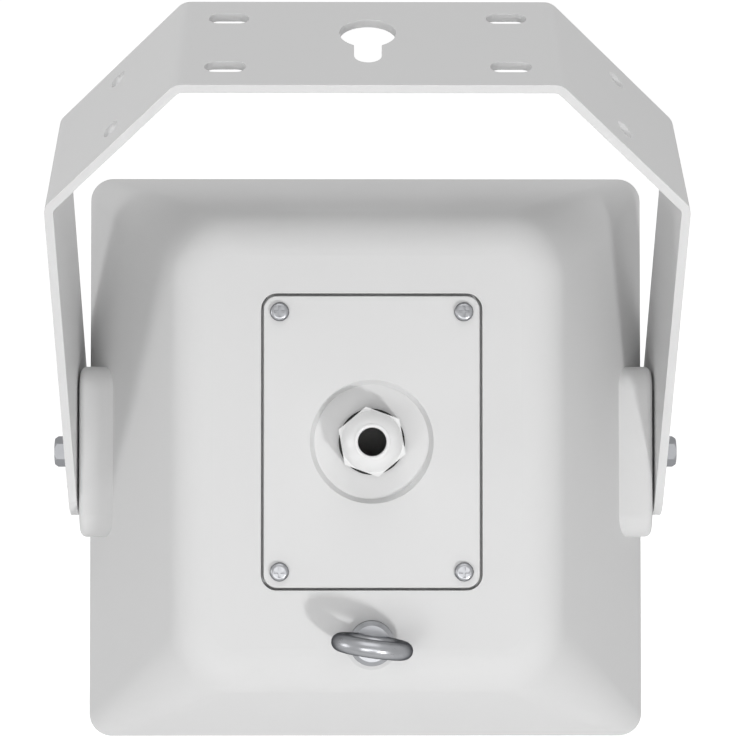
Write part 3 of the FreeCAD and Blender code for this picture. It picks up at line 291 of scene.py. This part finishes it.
def die_cast(name, colour, metallic):
    """Die-cast metal under thin dark paint: satin, over a skin that is uneven every 2 mm."""
    material, tree, shader, place = new_finish(name, colour, {"Metallic": metallic, "Roughness": 0.5})
    skin = node(tree, "ShaderNodeTexNoise",
                {"Vector": place, "Scale": 1 / (2 * MM), "Detail": 4.0}).outputs["Fac"]
    vary(tree, shader, colour, tint=(skin, 0.8, 1.2), gloss=(skin, 0.42, 0.6), relief=(skin, 0.05 * MM))
    return material


def pressed_paper(name, colour):
    """Paper pulp, pressed on a mesh former: fibrous and dull, with flecks 1.5 mm across."""
    material, tree, shader, place = new_finish(name, colour, {"Roughness": 0.85, "IOR": 1.4})
    fibres = node(tree, "ShaderNodeTexNoise",
                  {"Vector": place, "Scale": 1 / (1.5 * MM), "Detail": 6.0, "Distortion": 1.5}).outputs["Fac"]
    vary(tree, shader, colour, tint=(fibres, 0.6, 1.5), gloss=(fibres, 0.78, 0.95),
         relief=(fibres, 0.08 * MM))
    return material


def wound_wire(name, colour, pitch):
    """Enamelled copper wire or stacked sheet steel: bright metal with even lines along the driver's axis, one
    for each turn or sheet."""
    material, tree, shader, place = new_finish(name, colour, {"Metallic": 1.0, "Roughness": 0.35})
    level = node(tree, "ShaderNodeMapping", {"Vector": place, "Rotation": (-AIM, 0, 0)}).outputs["Vector"]
    turns = node(tree, "ShaderNodeTexWave", {"Vector": level, "Scale": WAVE_LENGTH / pitch},
                 wave_type="BANDS", bands_direction="Y").outputs["Fac"]
    vary(tree, shader, colour, tint=(turns, 0.55, 1.15), gloss=(turns, 0.28, 0.45), relief=(turns, pitch / 4))
    return material


def woven_cloth(name, colour):
    """Cotton cloth stiffened with resin: dull, in a plain weave with threads 0.6 mm apart both ways."""
    material, tree, shader, place = new_finish(
        name, colour, {"Roughness": 0.8, "IOR": 1.4, "Sheen Weight": 0.15})
    level = node(tree, "ShaderNodeMapping", {"Vector": place, "Rotation": (-AIM, 0, 0)}).outputs["Vector"]
    threads = {"Vector": level, "Scale": WAVE_LENGTH / (0.6 * MM)}
    warp = node(tree, "ShaderNodeTexWave", threads, bands_direction="X")
    weft = node(tree, "ShaderNodeTexWave", threads, bands_direction="Z")
    weave = node(tree, "ShaderNodeMath", {0: warp.outputs["Fac"], 1: weft.outputs["Fac"]},
                 operation="MULTIPLY").outputs["Value"]
    vary(tree, shader, colour, tint=(weave, 0.7, 1.15), gloss=(weave, 0.72, 0.9), relief=(weave, 0.1 * MM))
    return material


def laminate_board(name, colour):
    """Glass-epoxy board under green lacquer: shiny, with a faint glass weave 0.8 mm across."""
    material, tree, shader, place = new_finish(name, colour, {"Roughness": 0.3, "IOR": 1.55})
    level = node(tree, "ShaderNodeMapping", {"Vector": place, "Rotation": (-AIM, 0, 0)}).outputs["Vector"]
    threads = {"Vector": level, "Scale": WAVE_LENGTH / (0.8 * MM)}
    across = node(tree, "ShaderNodeTexWave", threads, bands_direction="X")
    along = node(tree, "ShaderNodeTexWave", threads, bands_direction="Y")
    both = node(tree, "ShaderNodeMath", {0: across.outputs["Fac"], 1: along.outputs["Fac"]}, operation="ADD")
    weave = node(tree, "ShaderNodeMath", {0: both.outputs["Value"], 1: 0.5},
                 operation="MULTIPLY").outputs["Value"]
    vary(tree, shader, colour, tint=(weave, 0.85, 1.12), gloss=(weave, 0.24, 0.36), relief=(weave, 0.01 * MM))
    return material


def fired_body(name, colour, grain):
    """Ferrite or cement, pressed and fired: dull and fine-pitted, with a grain of the size given."""
    material, tree, shader, place = new_finish(name, colour, {"Roughness": 0.75, "IOR": 1.6})
    pits = node(tree, "ShaderNodeTexNoise",
                {"Vector": place, "Scale": 1 / grain, "Detail": 5.0}).outputs["Fac"]
    vary(tree, shader, colour, tint=(pits, 0.82, 1.15), gloss=(pits, 0.65, 0.85), relief=(pits, 0.04 * MM))
    return material


# Sizes, colours and lamps that a user would change

def paint(name, description, code):
    """A colour property with an sRGB hex default."""
    return FloatVectorProperty(name=name, description=description, subtype="COLOR", size=4, min=0.0, max=1.0,
                               default=linear(code))


def length(name, description, size):
    """A length property with a default in millimetres."""
    return FloatProperty(name=name, description=description, subtype="DISTANCE", unit="LENGTH", min=0.0,
                         default=size * MM)


def power(name, description, watts):
    """A lamp's power, with a default in watts."""
    return FloatProperty(name=name, description=description, unit="POWER", min=0.0, default=watts)


class SpeakerColours(bpy.types.PropertyGroup):
    """Colours of the speaker's finishes"""

    bracket: paint("Bracket", "Powder coat on the folded bracket", "#DEDEDE")
    cabinet: paint("Cabinet", "Moulded cabinet", "#DCDCDC")
    cover: paint("Cover", "Moulded terminal cover", "#DEDEDE")
    gland: paint("Gland", "Moulded cable gland", "#EAEAEA")
    grille: paint("Grille", "Powder coat on the perforated grille", "#D2D2D2")
    zinc: paint("Zinc", "Plated bolts, screws and washers", "#9B9C9F")
    brass: paint("Brass", "Turned inserts and standoffs", "#C9A35A")
    black: paint("Black", "Rubber, foam and black mouldings", "#161616")
    copper: paint("Copper", "Enamelled wire of the coils", "#B8622E")


class GrilleSizes(bpy.types.PropertyGroup):
    """Sizes of the perforated grille and the foam behind it"""

    pitch: length("Pitch", "Distance between the middles of two holes in a row", 5.2)
    hole: length("Hole", "Width of a hexagonal hole across its corners", 4.2)
    border: length("Border", "Least width of plain sheet round the holes", 12.0)
    sheet: length("Sheet", "Thickness of the steel", 1.2)
    fold: length("Fold", "Outer radius of the folded edge", 2.2)
    corner: length("Corner", "Outer radius of the grille's corners", 6.4)
    screw_head: length("Screw head", "Radius of a grille screw's head", 4.2)
    screw_clear: length("Screw clearance", "Plain sheet round the middle of each grille screw", 8.5)
    foam_cell: length("Foam dimple", "Distance between two dimples of the foam", 22.0)
    foam_dip: length("Foam depth", "Depth of a dimple of the foam", 0.5)
    foam_notch: length("Foam notch", "Side of the notch at each corner of the foam, for a grille post", 16.0)


class SuspensionSizes(bpy.types.PropertyGroup):
    """Sizes of the surround and spider that carry the cone"""

    wall: length("Wall", "Thickness of the surround and of the spider", 0.8)
    surround_lip: length("Lip", "Width of the surround's lip on the cone", 4.0)
    spider_foot: length("Foot", "Width of the spider's foot on the frame", 5.0)
    spider_gap: length("Gap", "Room for glue between the spider and the coil former", 0.15)


class StudioSettings(bpy.types.PropertyGroup):
    """Camera, floor, sky and lamps"""

    camera_place: FloatVectorProperty(
        name="Camera", description="Where the camera stands", subtype="TRANSLATION", unit="LENGTH",
        default=(-0.00847, -0.96545, 0.52826))
    camera_way: FloatVectorProperty(
        name="Camera direction", description="Direction that the camera looks in", subtype="DIRECTION",
        default=(0.00785, 0.80775, -0.58947))
    camera_roll: FloatProperty(
        name="Camera roll", description="Turn of the camera about its own axis", subtype="ANGLE",
        unit="ROTATION", default=math.radians(0.341))
    lens: FloatProperty(name="Lens", description="Focal length of the camera in millimetres", default=122.08)
    floor_drop: length("Floor", "Distance of the floor below the mounting face", 750.0)
    floor_width: length("Floor width", "Width of the floor", 12000.0)
    sky_back: FloatProperty(
        name="Sky behind", description="Even light from behind the cabinet", default=0.33, min=0.0)
    sky_front: FloatProperty(
        name="Sky in front", description="Even light from before the grille", default=0.627, min=0.0)
    camera_lamp: power("Camera lamp", "Soft lamp beside the camera", 2.7)
    key_lamp: power("Key lamp", "Small lamp low on the camera's right, for shadows", 7.4)
    low_left_lamp: power("Low left lamp", "Soft lamp below the camera, to its left", 3.3)
    left_lamp: power("Left lamp", "Soft lamp on the bracket's left", 3.8)
    top_lamp: power("Top lamp", "Soft lamp above the bracket", 5.9)
    front_lamp: power("Front lamp", "Lamp low before the grille", 2.2)


# Pieces

class SPEAKER_OT_bracket(bpy.types.Operator):
    """Give the folded bracket its powder coat"""

    bl_idname = "speaker.bracket"
    bl_label = "Bracket"

    def execute(self, context):
        dress(powder_coat("bracket_powder_coat", context.scene.speaker_colours.bracket), "u_bracket")
        return {"FINISHED"}


class SPEAKER_OT_cabinet(bpy.types.Operator):
    """Give the moulded cabinet and its terminal cover their grained plastic"""

    bl_idname = "speaker.cabinet"
    bl_label = "Cabinet and cover"

    def execute(self, context):
        colours = context.scene.speaker_colours
        dress(moulded_abs("cabinet_abs", colours.cabinet), "cabinet")
        dress(moulded_abs("cover_abs", colours.cover), "terminal_cover")
        return {"FINISHED"}


class SPEAKER_OT_fastenings(bpy.types.Operator):
    """Give bolts, screws, washers and inserts their metal, and spacers and gaskets their black"""

    bl_idname = "speaker.fastenings"
    bl_label = "Fastenings and gaskets"

    def execute(self, context):
        colours = context.scene.speaker_colours
        dress(zinc_plate("zinc_plated_steel", colours.zinc, 0.22, 0.38),
              "pivot_bolts", "pivot_spring_washers", "pivot_flat_washers", "cover_screws", "grille_screws",
              "baffle_screws", "driver_screws", "board_screws", "strap_screws", "terminal_screws",
              "selector_nut", "transformer_strap", "safety_eyebolt")
        dress(turned_brass("turned_brass", colours.brass),
              "pivot_inserts", "eyebolt_insert", "board_standoffs")
        dress(moulded_rubber("black_rubber", colours.black),
              "cover_gasket", "gland_ring", "gland_seal", "baffle_gasket", "driver_gasket")
        dress(filled_skin("black_nylon", colours.black, 2 * MM, 0.35, 0.5, 0.01 * MM), "pivot_spacers")
        return {"FINISHED"}


class SPEAKER_OT_gland(bpy.types.Operator):
    """Give the cable gland its smooth nylon"""

    bl_idname = "speaker.gland"
    bl_label = "Cable gland"

    def execute(self, context):
        nylon = moulded_nylon("gland_nylon", context.scene.speaker_colours.gland)
        dress(nylon, "gland_body", "gland_dome_nut", "gland_locknut")
        return {"FINISHED"}


def rounded_ring(points, half, radius, depth):
    """Carry a rectangular loop of points out to a rounded rectangle of the same middle, at a depth along Y.
    Each point is stretched to the outer rectangle, clamped to its core and pushed out by the corner's radius
    from there."""
    reach = points / np.abs(points).max(0) * half
    core = np.clip(reach, radius - half, half - radius)
    away = reach - core
    away = away / np.linalg.norm(away, axis=1)[:, None]
    ring = core + radius * away
    return np.column_stack([ring[:, 0], np.full(len(ring), depth), ring[:, 1]])


def folded_edge(sizes, loop, half, front, lip):
    """Rings of the grille's edge, each the loop carried out to one step of a profile: a quarter circle for
    the fold, the lip's outer and inner edge, and the inside corner under the sheet."""
    bend = np.radians(np.linspace(90, 0, FOLD_STEPS + 1))
    inset = sizes.fold * (1 - np.cos(bend))
    depth = front - sizes.fold * (1 - np.sin(bend))
    profile = [*zip(inset, depth), (0.0, lip), (sizes.sheet, lip), (sizes.sheet, front - sizes.sheet)]
    return [rounded_ring(loop, half - step, sizes.corner - step, level) for step, level in profile]


def hexagon_field(sizes, half, screws):
    """Flat field of hexagonal holes about the middle of the sheet.
    Holes lie in rows, every other row shifted by half a pitch, so each cell has six corners on shared row
    lines. Gives the row lines' points, the points of the holes, the corners of cells with a hole and of plain
    ones round the screws, the half cells that end the shifted rows, and the loop round the field."""
    row_step = sizes.pitch * math.sqrt(3) / 2
    columns, rows = ((2 * half - 2 * sizes.border) // (sizes.pitch, row_step)).astype(int)
    lines = 2 * columns + 1
    line_x = (np.arange(lines) - columns) * sizes.pitch / 2
    line_z = (np.arange(rows + 1) - rows / 2) * row_step
    grid = np.stack(np.meshgrid(line_x, line_z), -1).reshape(-1, 2)

    row, column = np.meshgrid(np.arange(rows), np.arange(columns), indexing="ij")
    first = 2 * column + row % 2
    whole = first + 2 < lines
    row, first = row[whole], first[whole]
    start = row * lines + first
    above = start + lines
    corners = np.column_stack([start, start + 1, start + 2, above + 2, above + 1, above])
    centre = np.column_stack([line_x[first + 1], line_z[row] + row_step / 2])
    plain = np.linalg.norm(centre[:, None] - screws[None], axis=2).min(1) < sizes.screw_clear
    angles = np.radians([210, 270, 330, 30, 90, 150])
    rim = np.column_stack([np.cos(angles), np.sin(angles)]) * sizes.hole / 2
    holes = (centre[~plain][:, None] + rim).reshape(-1, 2)

    shifted = np.arange(1, rows, 2) * lines
    ends = np.concatenate([shifted, shifted + lines - 2])
    stubs = np.column_stack([ends, ends + 1, ends + lines + 1, ends + lines])
    last = rows * lines
    loop = np.concatenate([np.arange(lines), np.arange(1, rows) * lines + lines - 1,
                           np.arange(last + lines - 1, last - 1, -1), np.arange(rows - 1, 0, -1) * lines])
    return grid, holes, corners[~plain], corners[plain], stubs, loop


def perforated_tray(sizes, low, high, screws):
    """Sheet with hexagonal holes and a folded lip, as a closed skin in the cabinet's level frame.
    Each cell of the field joins its six corners to the six corners of its hole, on the front and on the back,
    with walls between the two. The folded edge's rings join the field's loop in front to the one behind."""
    half = np.array([high[0] - low[0], high[2] - low[2]]) / 2
    middle = np.array([(high[0] + low[0]) / 2, (high[2] + low[2]) / 2])
    front, lip = high[1], low[1]
    grid, holes, pierced, plain, stubs, loop = hexagon_field(sizes, half, screws - middle)
    count = len(grid) + len(holes)
    rims = len(grid) + np.arange(len(holes)).reshape(-1, 6)
    ahead = np.roll(rims, -1, 1)
    cells = np.stack([pierced, np.roll(pierced, -1, 1), ahead, rims], -1).reshape(-1, 4)
    sheet = np.concatenate([cells, stubs])
    walls = np.stack([rims, ahead, ahead + count, rims + count], -1).reshape(-1, 4)

    rings = folded_edge(sizes, grid[loop], half, front, lip)
    flat = np.concatenate([grid, holes])
    sides = [np.column_stack([flat[:, 0], np.full(count, level), flat[:, 1]])
             for level in (front, front - sizes.sheet)]
    points = np.concatenate([*sides, *rings])
    points[:, [0, 2]] += middle
    steps = [2 * count + step * len(loop) + np.arange(len(loop)) for step in range(len(rings))]
    chain = [loop, *steps, loop + count]
    folds = [np.column_stack([a, b, np.roll(b, -1), np.roll(a, -1)]) for a, b in zip(chain, chain[1:])]
    quads = np.concatenate([sheet, sheet[:, ::-1] + count, walls, *folds])
    plains = np.concatenate([plain, plain[:, ::-1] + count])
    return points, [*quads.tolist(), *plains.tolist()]


def screw_places(name, inset):
    """Middles, across the cabinet's front, of a CAD node's four screws, inset from the node's corners."""
    low, high = level_box(name)
    low, high = low + inset, high - inset
    return np.array([(x, z) for x in (low[0], high[0]) for z in (low[2], high[2])])


class SPEAKER_OT_grille(bpy.types.Operator):
    """Build the perforated steel grille in place of the plain one"""

    bl_idname = "speaker.grille"
    bl_label = "Grille"

    def execute(self, context):
        sizes = context.scene.speaker_grille
        coat = powder_coat("grille_powder_coat", context.scene.speaker_colours.grille)
        low, high = level_box("grille")
        points, faces = perforated_tray(sizes, low, high, screw_places("grille_screws", sizes.screw_head))
        tray = new_piece("perforated_grille", points, faces, coat, "grille")
        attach(tray, "cabinet")
        return {"FINISHED"}


def dimpled_sheet(sizes, low, high):
    """Front of the foam sheet, with square notches at its corners for the grille posts: a grid whose height
    is a product of two sines, so that it dips a little every few centimetres, fading out at the edge."""
    share = np.linspace(-1, 1, FOAM_STEPS + 1)
    half_x, half_z = (high[0] - low[0]) / 2, (high[2] - low[2]) / 2
    x, z = np.meshgrid(share * half_x, share * half_z, indexing="ij")
    dip = np.sin(2 * np.pi * x / sizes.foam_cell) * np.sin(2 * np.pi * z / sizes.foam_cell)
    fade = np.clip((1 - np.maximum(abs(share)[:, None], abs(share)[None])) * FOAM_FADE_PARTS, 0, 1)
    y = high[1] - sizes.foam_dip * (0.5 + 0.5 * dip * fade)
    index = np.arange((FOAM_STEPS + 1) ** 2).reshape(FOAM_STEPS + 1, FOAM_STEPS + 1)
    quads = np.stack([index[:-1, :-1], index[:-1, 1:], index[1:, 1:], index[1:, :-1]], -1)
    mid = abs(share[1:] + share[:-1]) / 2
    beside_x, beside_z = mid * half_x > half_x - sizes.foam_notch, mid * half_z > half_z - sizes.foam_notch
    corner = beside_x[:, None] & beside_z[None]
    points = np.stack([x + (high[0] + low[0]) / 2, y, z + (high[2] + low[2]) / 2], -1).reshape(-1, 3)
    used, renumbered = np.unique(quads[~corner], return_inverse=True)
    return points[used], renumbered.reshape(-1, 4).tolist()


class SPEAKER_OT_foam(bpy.types.Operator):
    """Build the soft foam sheet behind the grille in place of the plain one"""

    bl_idname = "speaker.foam"
    bl_label = "Foam"

    def execute(self, context):
        sizes = context.scene.speaker_grille
        cells = open_cell_foam("open_cell_foam", context.scene.speaker_colours.black)
        low, high = level_box("grille_foam")
        points, faces = dimpled_sheet(sizes, low, high)
        foam = new_piece("foam_sheet", points, faces, cells, "grille_foam")
        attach(foam, "cabinet")
        wall = foam.modifiers.new("thickness", "SOLIDIFY")
        wall.thickness = high[1] - low[1] - sizes.foam_dip
        wall.offset = -1.0
        return {"FINISHED"}


class SPEAKER_OT_driver(bpy.types.Operator):
    """Give the baffle, driver and horn their finishes"""

    bl_idname = "speaker.driver"
    bl_label = "Baffle, driver and horn"

    def execute(self, context):
        colours = context.scene.speaker_colours
        dress(filled_skin("moulded_baffle", colours.black, 1.5 * MM, 0.5, 0.7, 0.03 * MM), "baffle")
        dress(die_cast("cast_aluminium", linear("#2B2B2C"), 0.6), "driver_frame")
        dress(zinc_plate("plate_steel", linear("#8E9092"), 0.3, 0.5), "top_plate", "back_plate")
        dress(fired_body("sintered_ferrite", linear("#323234"), 0.8 * MM), "magnet")
        dress(pressed_paper("pressed_paper", linear("#2A2928")), "cone")
        dress(filled_skin("polyimide_film", linear("#9A6A22"), 3 * MM, 0.25, 0.4, 0.005 * MM), "coil_former")
        dress(wound_wire("coil_wire", colours.copper, 0.5 * MM), "coil_winding")
        dress(filled_skin("horn_moulding", colours.black, 1.2 * MM, 0.35, 0.5, 0.015 * MM), "horn", "hf_cap")
        dress(die_cast("motor_housing", linear("#39393A"), 0.8), "hf_driver")
        return {"FINISHED"}


def half_roll(sizes, low, high, inner):
    """Section of the surround as radius and depth: below, a flat lip, a half circle and a flat rim, and back
    a wall above them, along a half ellipse that is a wall wider on each side."""
    roll = high[1] - low[1] - sizes.wall
    middle = inner + roll
    turn = np.linspace(np.pi, 0, ROLL_STEPS + 1)
    under = np.column_stack([middle + roll * np.cos(turn), low[1] + roll * np.sin(turn)])
    wide = roll + sizes.wall
    over = np.column_stack([middle + wide * np.cos(turn), low[1] + sizes.wall + roll * np.sin(turn)])
    lip, rim = inner - sizes.surround_lip, (high[0] - low[0]) / 2
    top = low[1] + sizes.wall
    return np.concatenate([[(lip, low[1])], under, [(rim, low[1]), (rim, top)], over[::-1], [(lip, top)]])


def pleated_disc(sizes, low, high, inner):
    """Section of the spider as radius and depth: a cosine of a few waves out to a flat foot, and back a wall
    above it."""
    outer = (high[0] - low[0]) / 2
    share = np.linspace(0, 1, SPIDER_STEPS + 1)
    wave = high[1] - low[1] - sizes.wall
    depth = low[1] + wave * (0.5 - 0.5 * np.cos(2 * np.pi * SPIDER_WAVES * share))
    edge = outer - sizes.spider_foot
    under = np.column_stack([inner + (edge - inner) * share, depth])
    under = np.concatenate([under, [(outer, low[1])]])
    return np.concatenate([under, under[::-1] + (0, sizes.wall)])


def turned_sector(section, middle, span):
    """Closed solid of a section turned about the driver's axis through a span: each point lies at its radius
    times the cosine and sine of the angle, and both ends are capped with the section itself."""
    angles = middle + np.linspace(-0.5, 0.5, SECTOR_STEPS + 1) * span
    radius, depth = section.T
    points = np.stack([np.outer(np.cos(angles), radius), np.tile(depth, (SECTOR_STEPS + 1, 1)),
                       np.outer(np.sin(angles), radius)], -1).reshape(-1, 3)
    index = np.arange(len(points)).reshape(SECTOR_STEPS + 1, -1)
    ahead = np.roll(index, -1, 1)
    quads = np.stack([index[:-1], ahead[:-1], ahead[1:], index[1:]], -1).reshape(-1, 4)
    return points, [*quads.tolist(), index[0, ::-1].tolist(), index[-1].tolist()]


def flexing_sectors(name, section, count, material):
    """Set out sectors of a section round a CAD node's middle, in place of that node."""
    low, high = level_box(name)
    middle = (low + high) / 2 * (1, 0, 1)
    span = 2 * math.pi / count
    for number in range(count):
        angle = number * span
        points, faces = turned_sector(section, angle, span)
        piece = new_piece(f"{name}_sector_{number + 1}", points + middle, faces, material, name)
        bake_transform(piece)


class SPEAKER_OT_suspension(bpy.types.Operator):
    """Build the surround and spider as sectors"""

    bl_idname = "speaker.suspension"
    bl_label = "Surround and spider"

    def execute(self, context):
        sizes = context.scene.speaker_suspension
        rubber = moulded_rubber("surround_rubber", context.scene.speaker_colours.black)
        low, high = level_box("surround")
        lip = level_box("cone")[1][0] - (low[0] + high[0]) / 2
        section = half_roll(sizes, low, high, lip)
        flexing_sectors("surround", section, SURROUND_SECTORS, rubber)

        cloth = woven_cloth("resin_cloth", linear("#C3A468"))
        low, high = level_box("spider")
        neck = level_box("coil_former")[1][0] - (low[0] + high[0]) / 2 + sizes.spider_gap
        section = pleated_disc(sizes, low, high, neck)
        flexing_sectors("spider", section, SPIDER_SECTORS, cloth)
        return {"FINISHED"}


class SPEAKER_OT_electrics(bpy.types.Operator):
    """Give the crossover, transformer, terminals and selector their finishes"""

    bl_idname = "speaker.electrics"
    bl_label = "Crossover and terminals"

    def execute(self, context):
        colours = context.scene.speaker_colours
        dress(laminate_board("glass_epoxy_board", linear("#2F6A3C")), "crossover_board")
        dress(wound_wire("choke_wire", colours.copper, 1.0 * MM), "crossover_coils", "transformer_winding")
        dress(filled_skin("film_sleeve", linear("#B8952F"), 5 * MM, 0.2, 0.32, 0.005 * MM),
              "crossover_capacitors")
        dress(fired_body("cement_body", linear("#DAD8D0"), 1.0 * MM), "crossover_resistor")
        dress(wound_wire("stacked_laminations", linear("#7E7F82"), 0.7 * MM), "transformer_core")
        dress(filled_skin("phenolic", colours.black, 2.5 * MM, 0.25, 0.4, 0.01 * MM),
              "terminal_block", "selector_body")
        dress(filled_skin("knob_moulding", colours.black, 3 * MM, 0.2, 0.32, 0.008 * MM), "selector_knob")
        return {"FINISHED"}


# Studio

def lamp(name, watts, width, distance, way):
    """Square area lamp at a distance from the pivot, in a direction, turned to face it."""
    data = bpy.data.lights.new(name, "AREA")
    data.energy = watts
    data.size = width
    made = bpy.data.objects.new(name, data)
    made.location = PIVOT + way.normalized() * distance
    made.rotation_mode = "QUATERNION"
    made.rotation_quaternion = (-way).to_track_quat("-Z", "Y")
    bpy.context.scene.collection.objects.link(made)


def seen(tree):
    """1 where a ray comes from the camera, a reflection or through glass, and 0 where it carries light."""
    path = node(tree, "ShaderNodeLightPath", {}).outputs
    either = node(tree, "ShaderNodeMath", {0: path["Is Camera Ray"], 1: path["Is Glossy Ray"]},
                  operation="MAXIMUM")
    return node(tree, "ShaderNodeMath", {0: either.outputs["Value"], 1: path["Is Transmission Ray"]},
                operation="MAXIMUM").outputs["Value"]


def floor_paint():
    """Pale studio floor that shows almost white and still takes the object's shadow."""
    material = bpy.data.materials.new("studio_floor")
    material.use_nodes = True
    tree = material.node_tree
    tree.nodes.clear()
    matt = node(tree, "ShaderNodeBsdfDiffuse", {"Color": linear("#F2F2F2")})
    shadow = node(tree, "ShaderNodeBsdfDiffuse", {"Color": linear("#BCBCBC")})
    white = node(tree, "ShaderNodeEmission", {"Color": linear("#FFFFFF"), "Strength": FLOOR_GLOW})
    shown = node(tree, "ShaderNodeAddShader", {0: shadow.outputs["BSDF"], 1: white.outputs["Emission"]})
    mix = node(tree, "ShaderNodeMixShader",
               {"Fac": seen(tree), 1: matt.outputs["BSDF"], 2: shown.outputs["Shader"]})
    node(tree, "ShaderNodeOutputMaterial", {"Surface": mix.outputs["Shader"]})
    return material


def studio_sky(studio):
    """Sky that lights from before the grille more than from behind the cabinet, and shows as white."""
    world = bpy.data.worlds.new("studio_sky")
    world.use_nodes = True
    tree = world.node_tree
    tree.nodes.clear()
    way = node(tree, "ShaderNodeTexCoord", {}).outputs["Generated"]
    side = node(tree, "ShaderNodeVectorMath", {0: way, 1: -FIRE}, operation="DOT_PRODUCT")
    light = node(tree, "ShaderNodeMapRange",
                 {"Value": side.outputs["Value"], "From Min": -SKY_BLEND, "From Max": SKY_BLEND,
                  "To Min": studio.sky_front, "To Max": studio.sky_back}, interpolation_type="SMOOTHSTEP")
    level = node(tree, "ShaderNodeMapRange",
                 {"Value": seen(tree), "To Min": light.outputs["Result"], "To Max": 1.0})
    sky = node(tree, "ShaderNodeBackground",
               {"Color": linear("#FFFFFF"), "Strength": level.outputs["Result"]})
    node(tree, "ShaderNodeOutputWorld", {"Surface": sky.outputs["Background"]})
    return world


class SPEAKER_OT_stage(bpy.types.Operator):
    """Set up the camera, lamps, sky and pale floor"""

    bl_idname = "speaker.stage"
    bl_label = "Studio"

    def execute(self, context):
        scene = context.scene
        studio = scene.speaker_studio
        scene.view_settings.view_transform = "Standard"

        camera = bpy.data.objects.new("camera", bpy.data.cameras.new("camera"))
        camera.data.lens = studio.lens
        camera.location = studio.camera_place
        camera.rotation_mode = "QUATERNION"
        way = Vector(studio.camera_way).to_track_quat("-Z", "Y")
        camera.rotation_quaternion = way @ Quaternion((0, 0, 1), studio.camera_roll)
        scene.collection.objects.link(camera)
        scene.camera = camera

        for name, (width, distance, way) in LAMPS.items():
            lamp(name, getattr(studio, name), width, distance, way)

        half = studio.floor_width / 2
        floor_mesh = bpy.data.meshes.new("floor")
        floor_mesh.from_pydata([(x * half, y * half, -studio.floor_drop)
                                for x, y in ((-1, -1), (1, -1), (1, 1), (-1, 1))], [], [(0, 1, 2, 3)])
        floor = bpy.data.objects.new("floor", floor_mesh)
        scene.collection.objects.link(floor)
        floor_mesh.materials.append(floor_paint())
        scene.world = studio_sky(studio)
        return {"FINISHED"}


GROUPS = {
    "speaker_colours": SpeakerColours,
    "speaker_grille": GrilleSizes,
    "speaker_suspension": SuspensionSizes,
    "speaker_studio": StudioSettings,
}
OPERATORS = (
    SPEAKER_OT_bracket, SPEAKER_OT_cabinet, SPEAKER_OT_fastenings, SPEAKER_OT_gland, SPEAKER_OT_grille,
    SPEAKER_OT_foam, SPEAKER_OT_driver, SPEAKER_OT_suspension, SPEAKER_OT_electrics, SPEAKER_OT_stage,
)


class SPEAKER_PT_panel(bpy.types.Panel):
    """Lists the speaker's settings and the steps that build it"""

    bl_idname = "SPEAKER_PT_panel"
    bl_label = "Installation speaker"
    bl_space_type = "VIEW_3D"
    bl_region_type = "UI"
    bl_category = "Speaker"

    def draw(self, context):
        for group in GROUPS:
            settings = getattr(context.scene, group)
            column = self.layout.column()
            for name in settings.__annotations__:
                column.prop(settings, name)
        for operator in OPERATORS:
            self.layout.operator(operator.bl_idname)


CLASSES = (*GROUPS.values(), *OPERATORS, SPEAKER_PT_panel)


def register():
    for cls in CLASSES:
        bpy.utils.register_class(cls)
    for name, cls in GROUPS.items():
        setattr(bpy.types.Scene, name, PointerProperty(type=cls))


def unregister():
    for name in GROUPS:
        delattr(bpy.types.Scene, name)
    for cls in reversed(CLASSES):
        bpy.utils.unregister_class(cls)


def main():
    register()
    for operator in OPERATORS:
        family, step = operator.bl_idname.split(".")
        getattr(getattr(bpy.ops, family), step)()


if __name__ == "__main__":
    main()
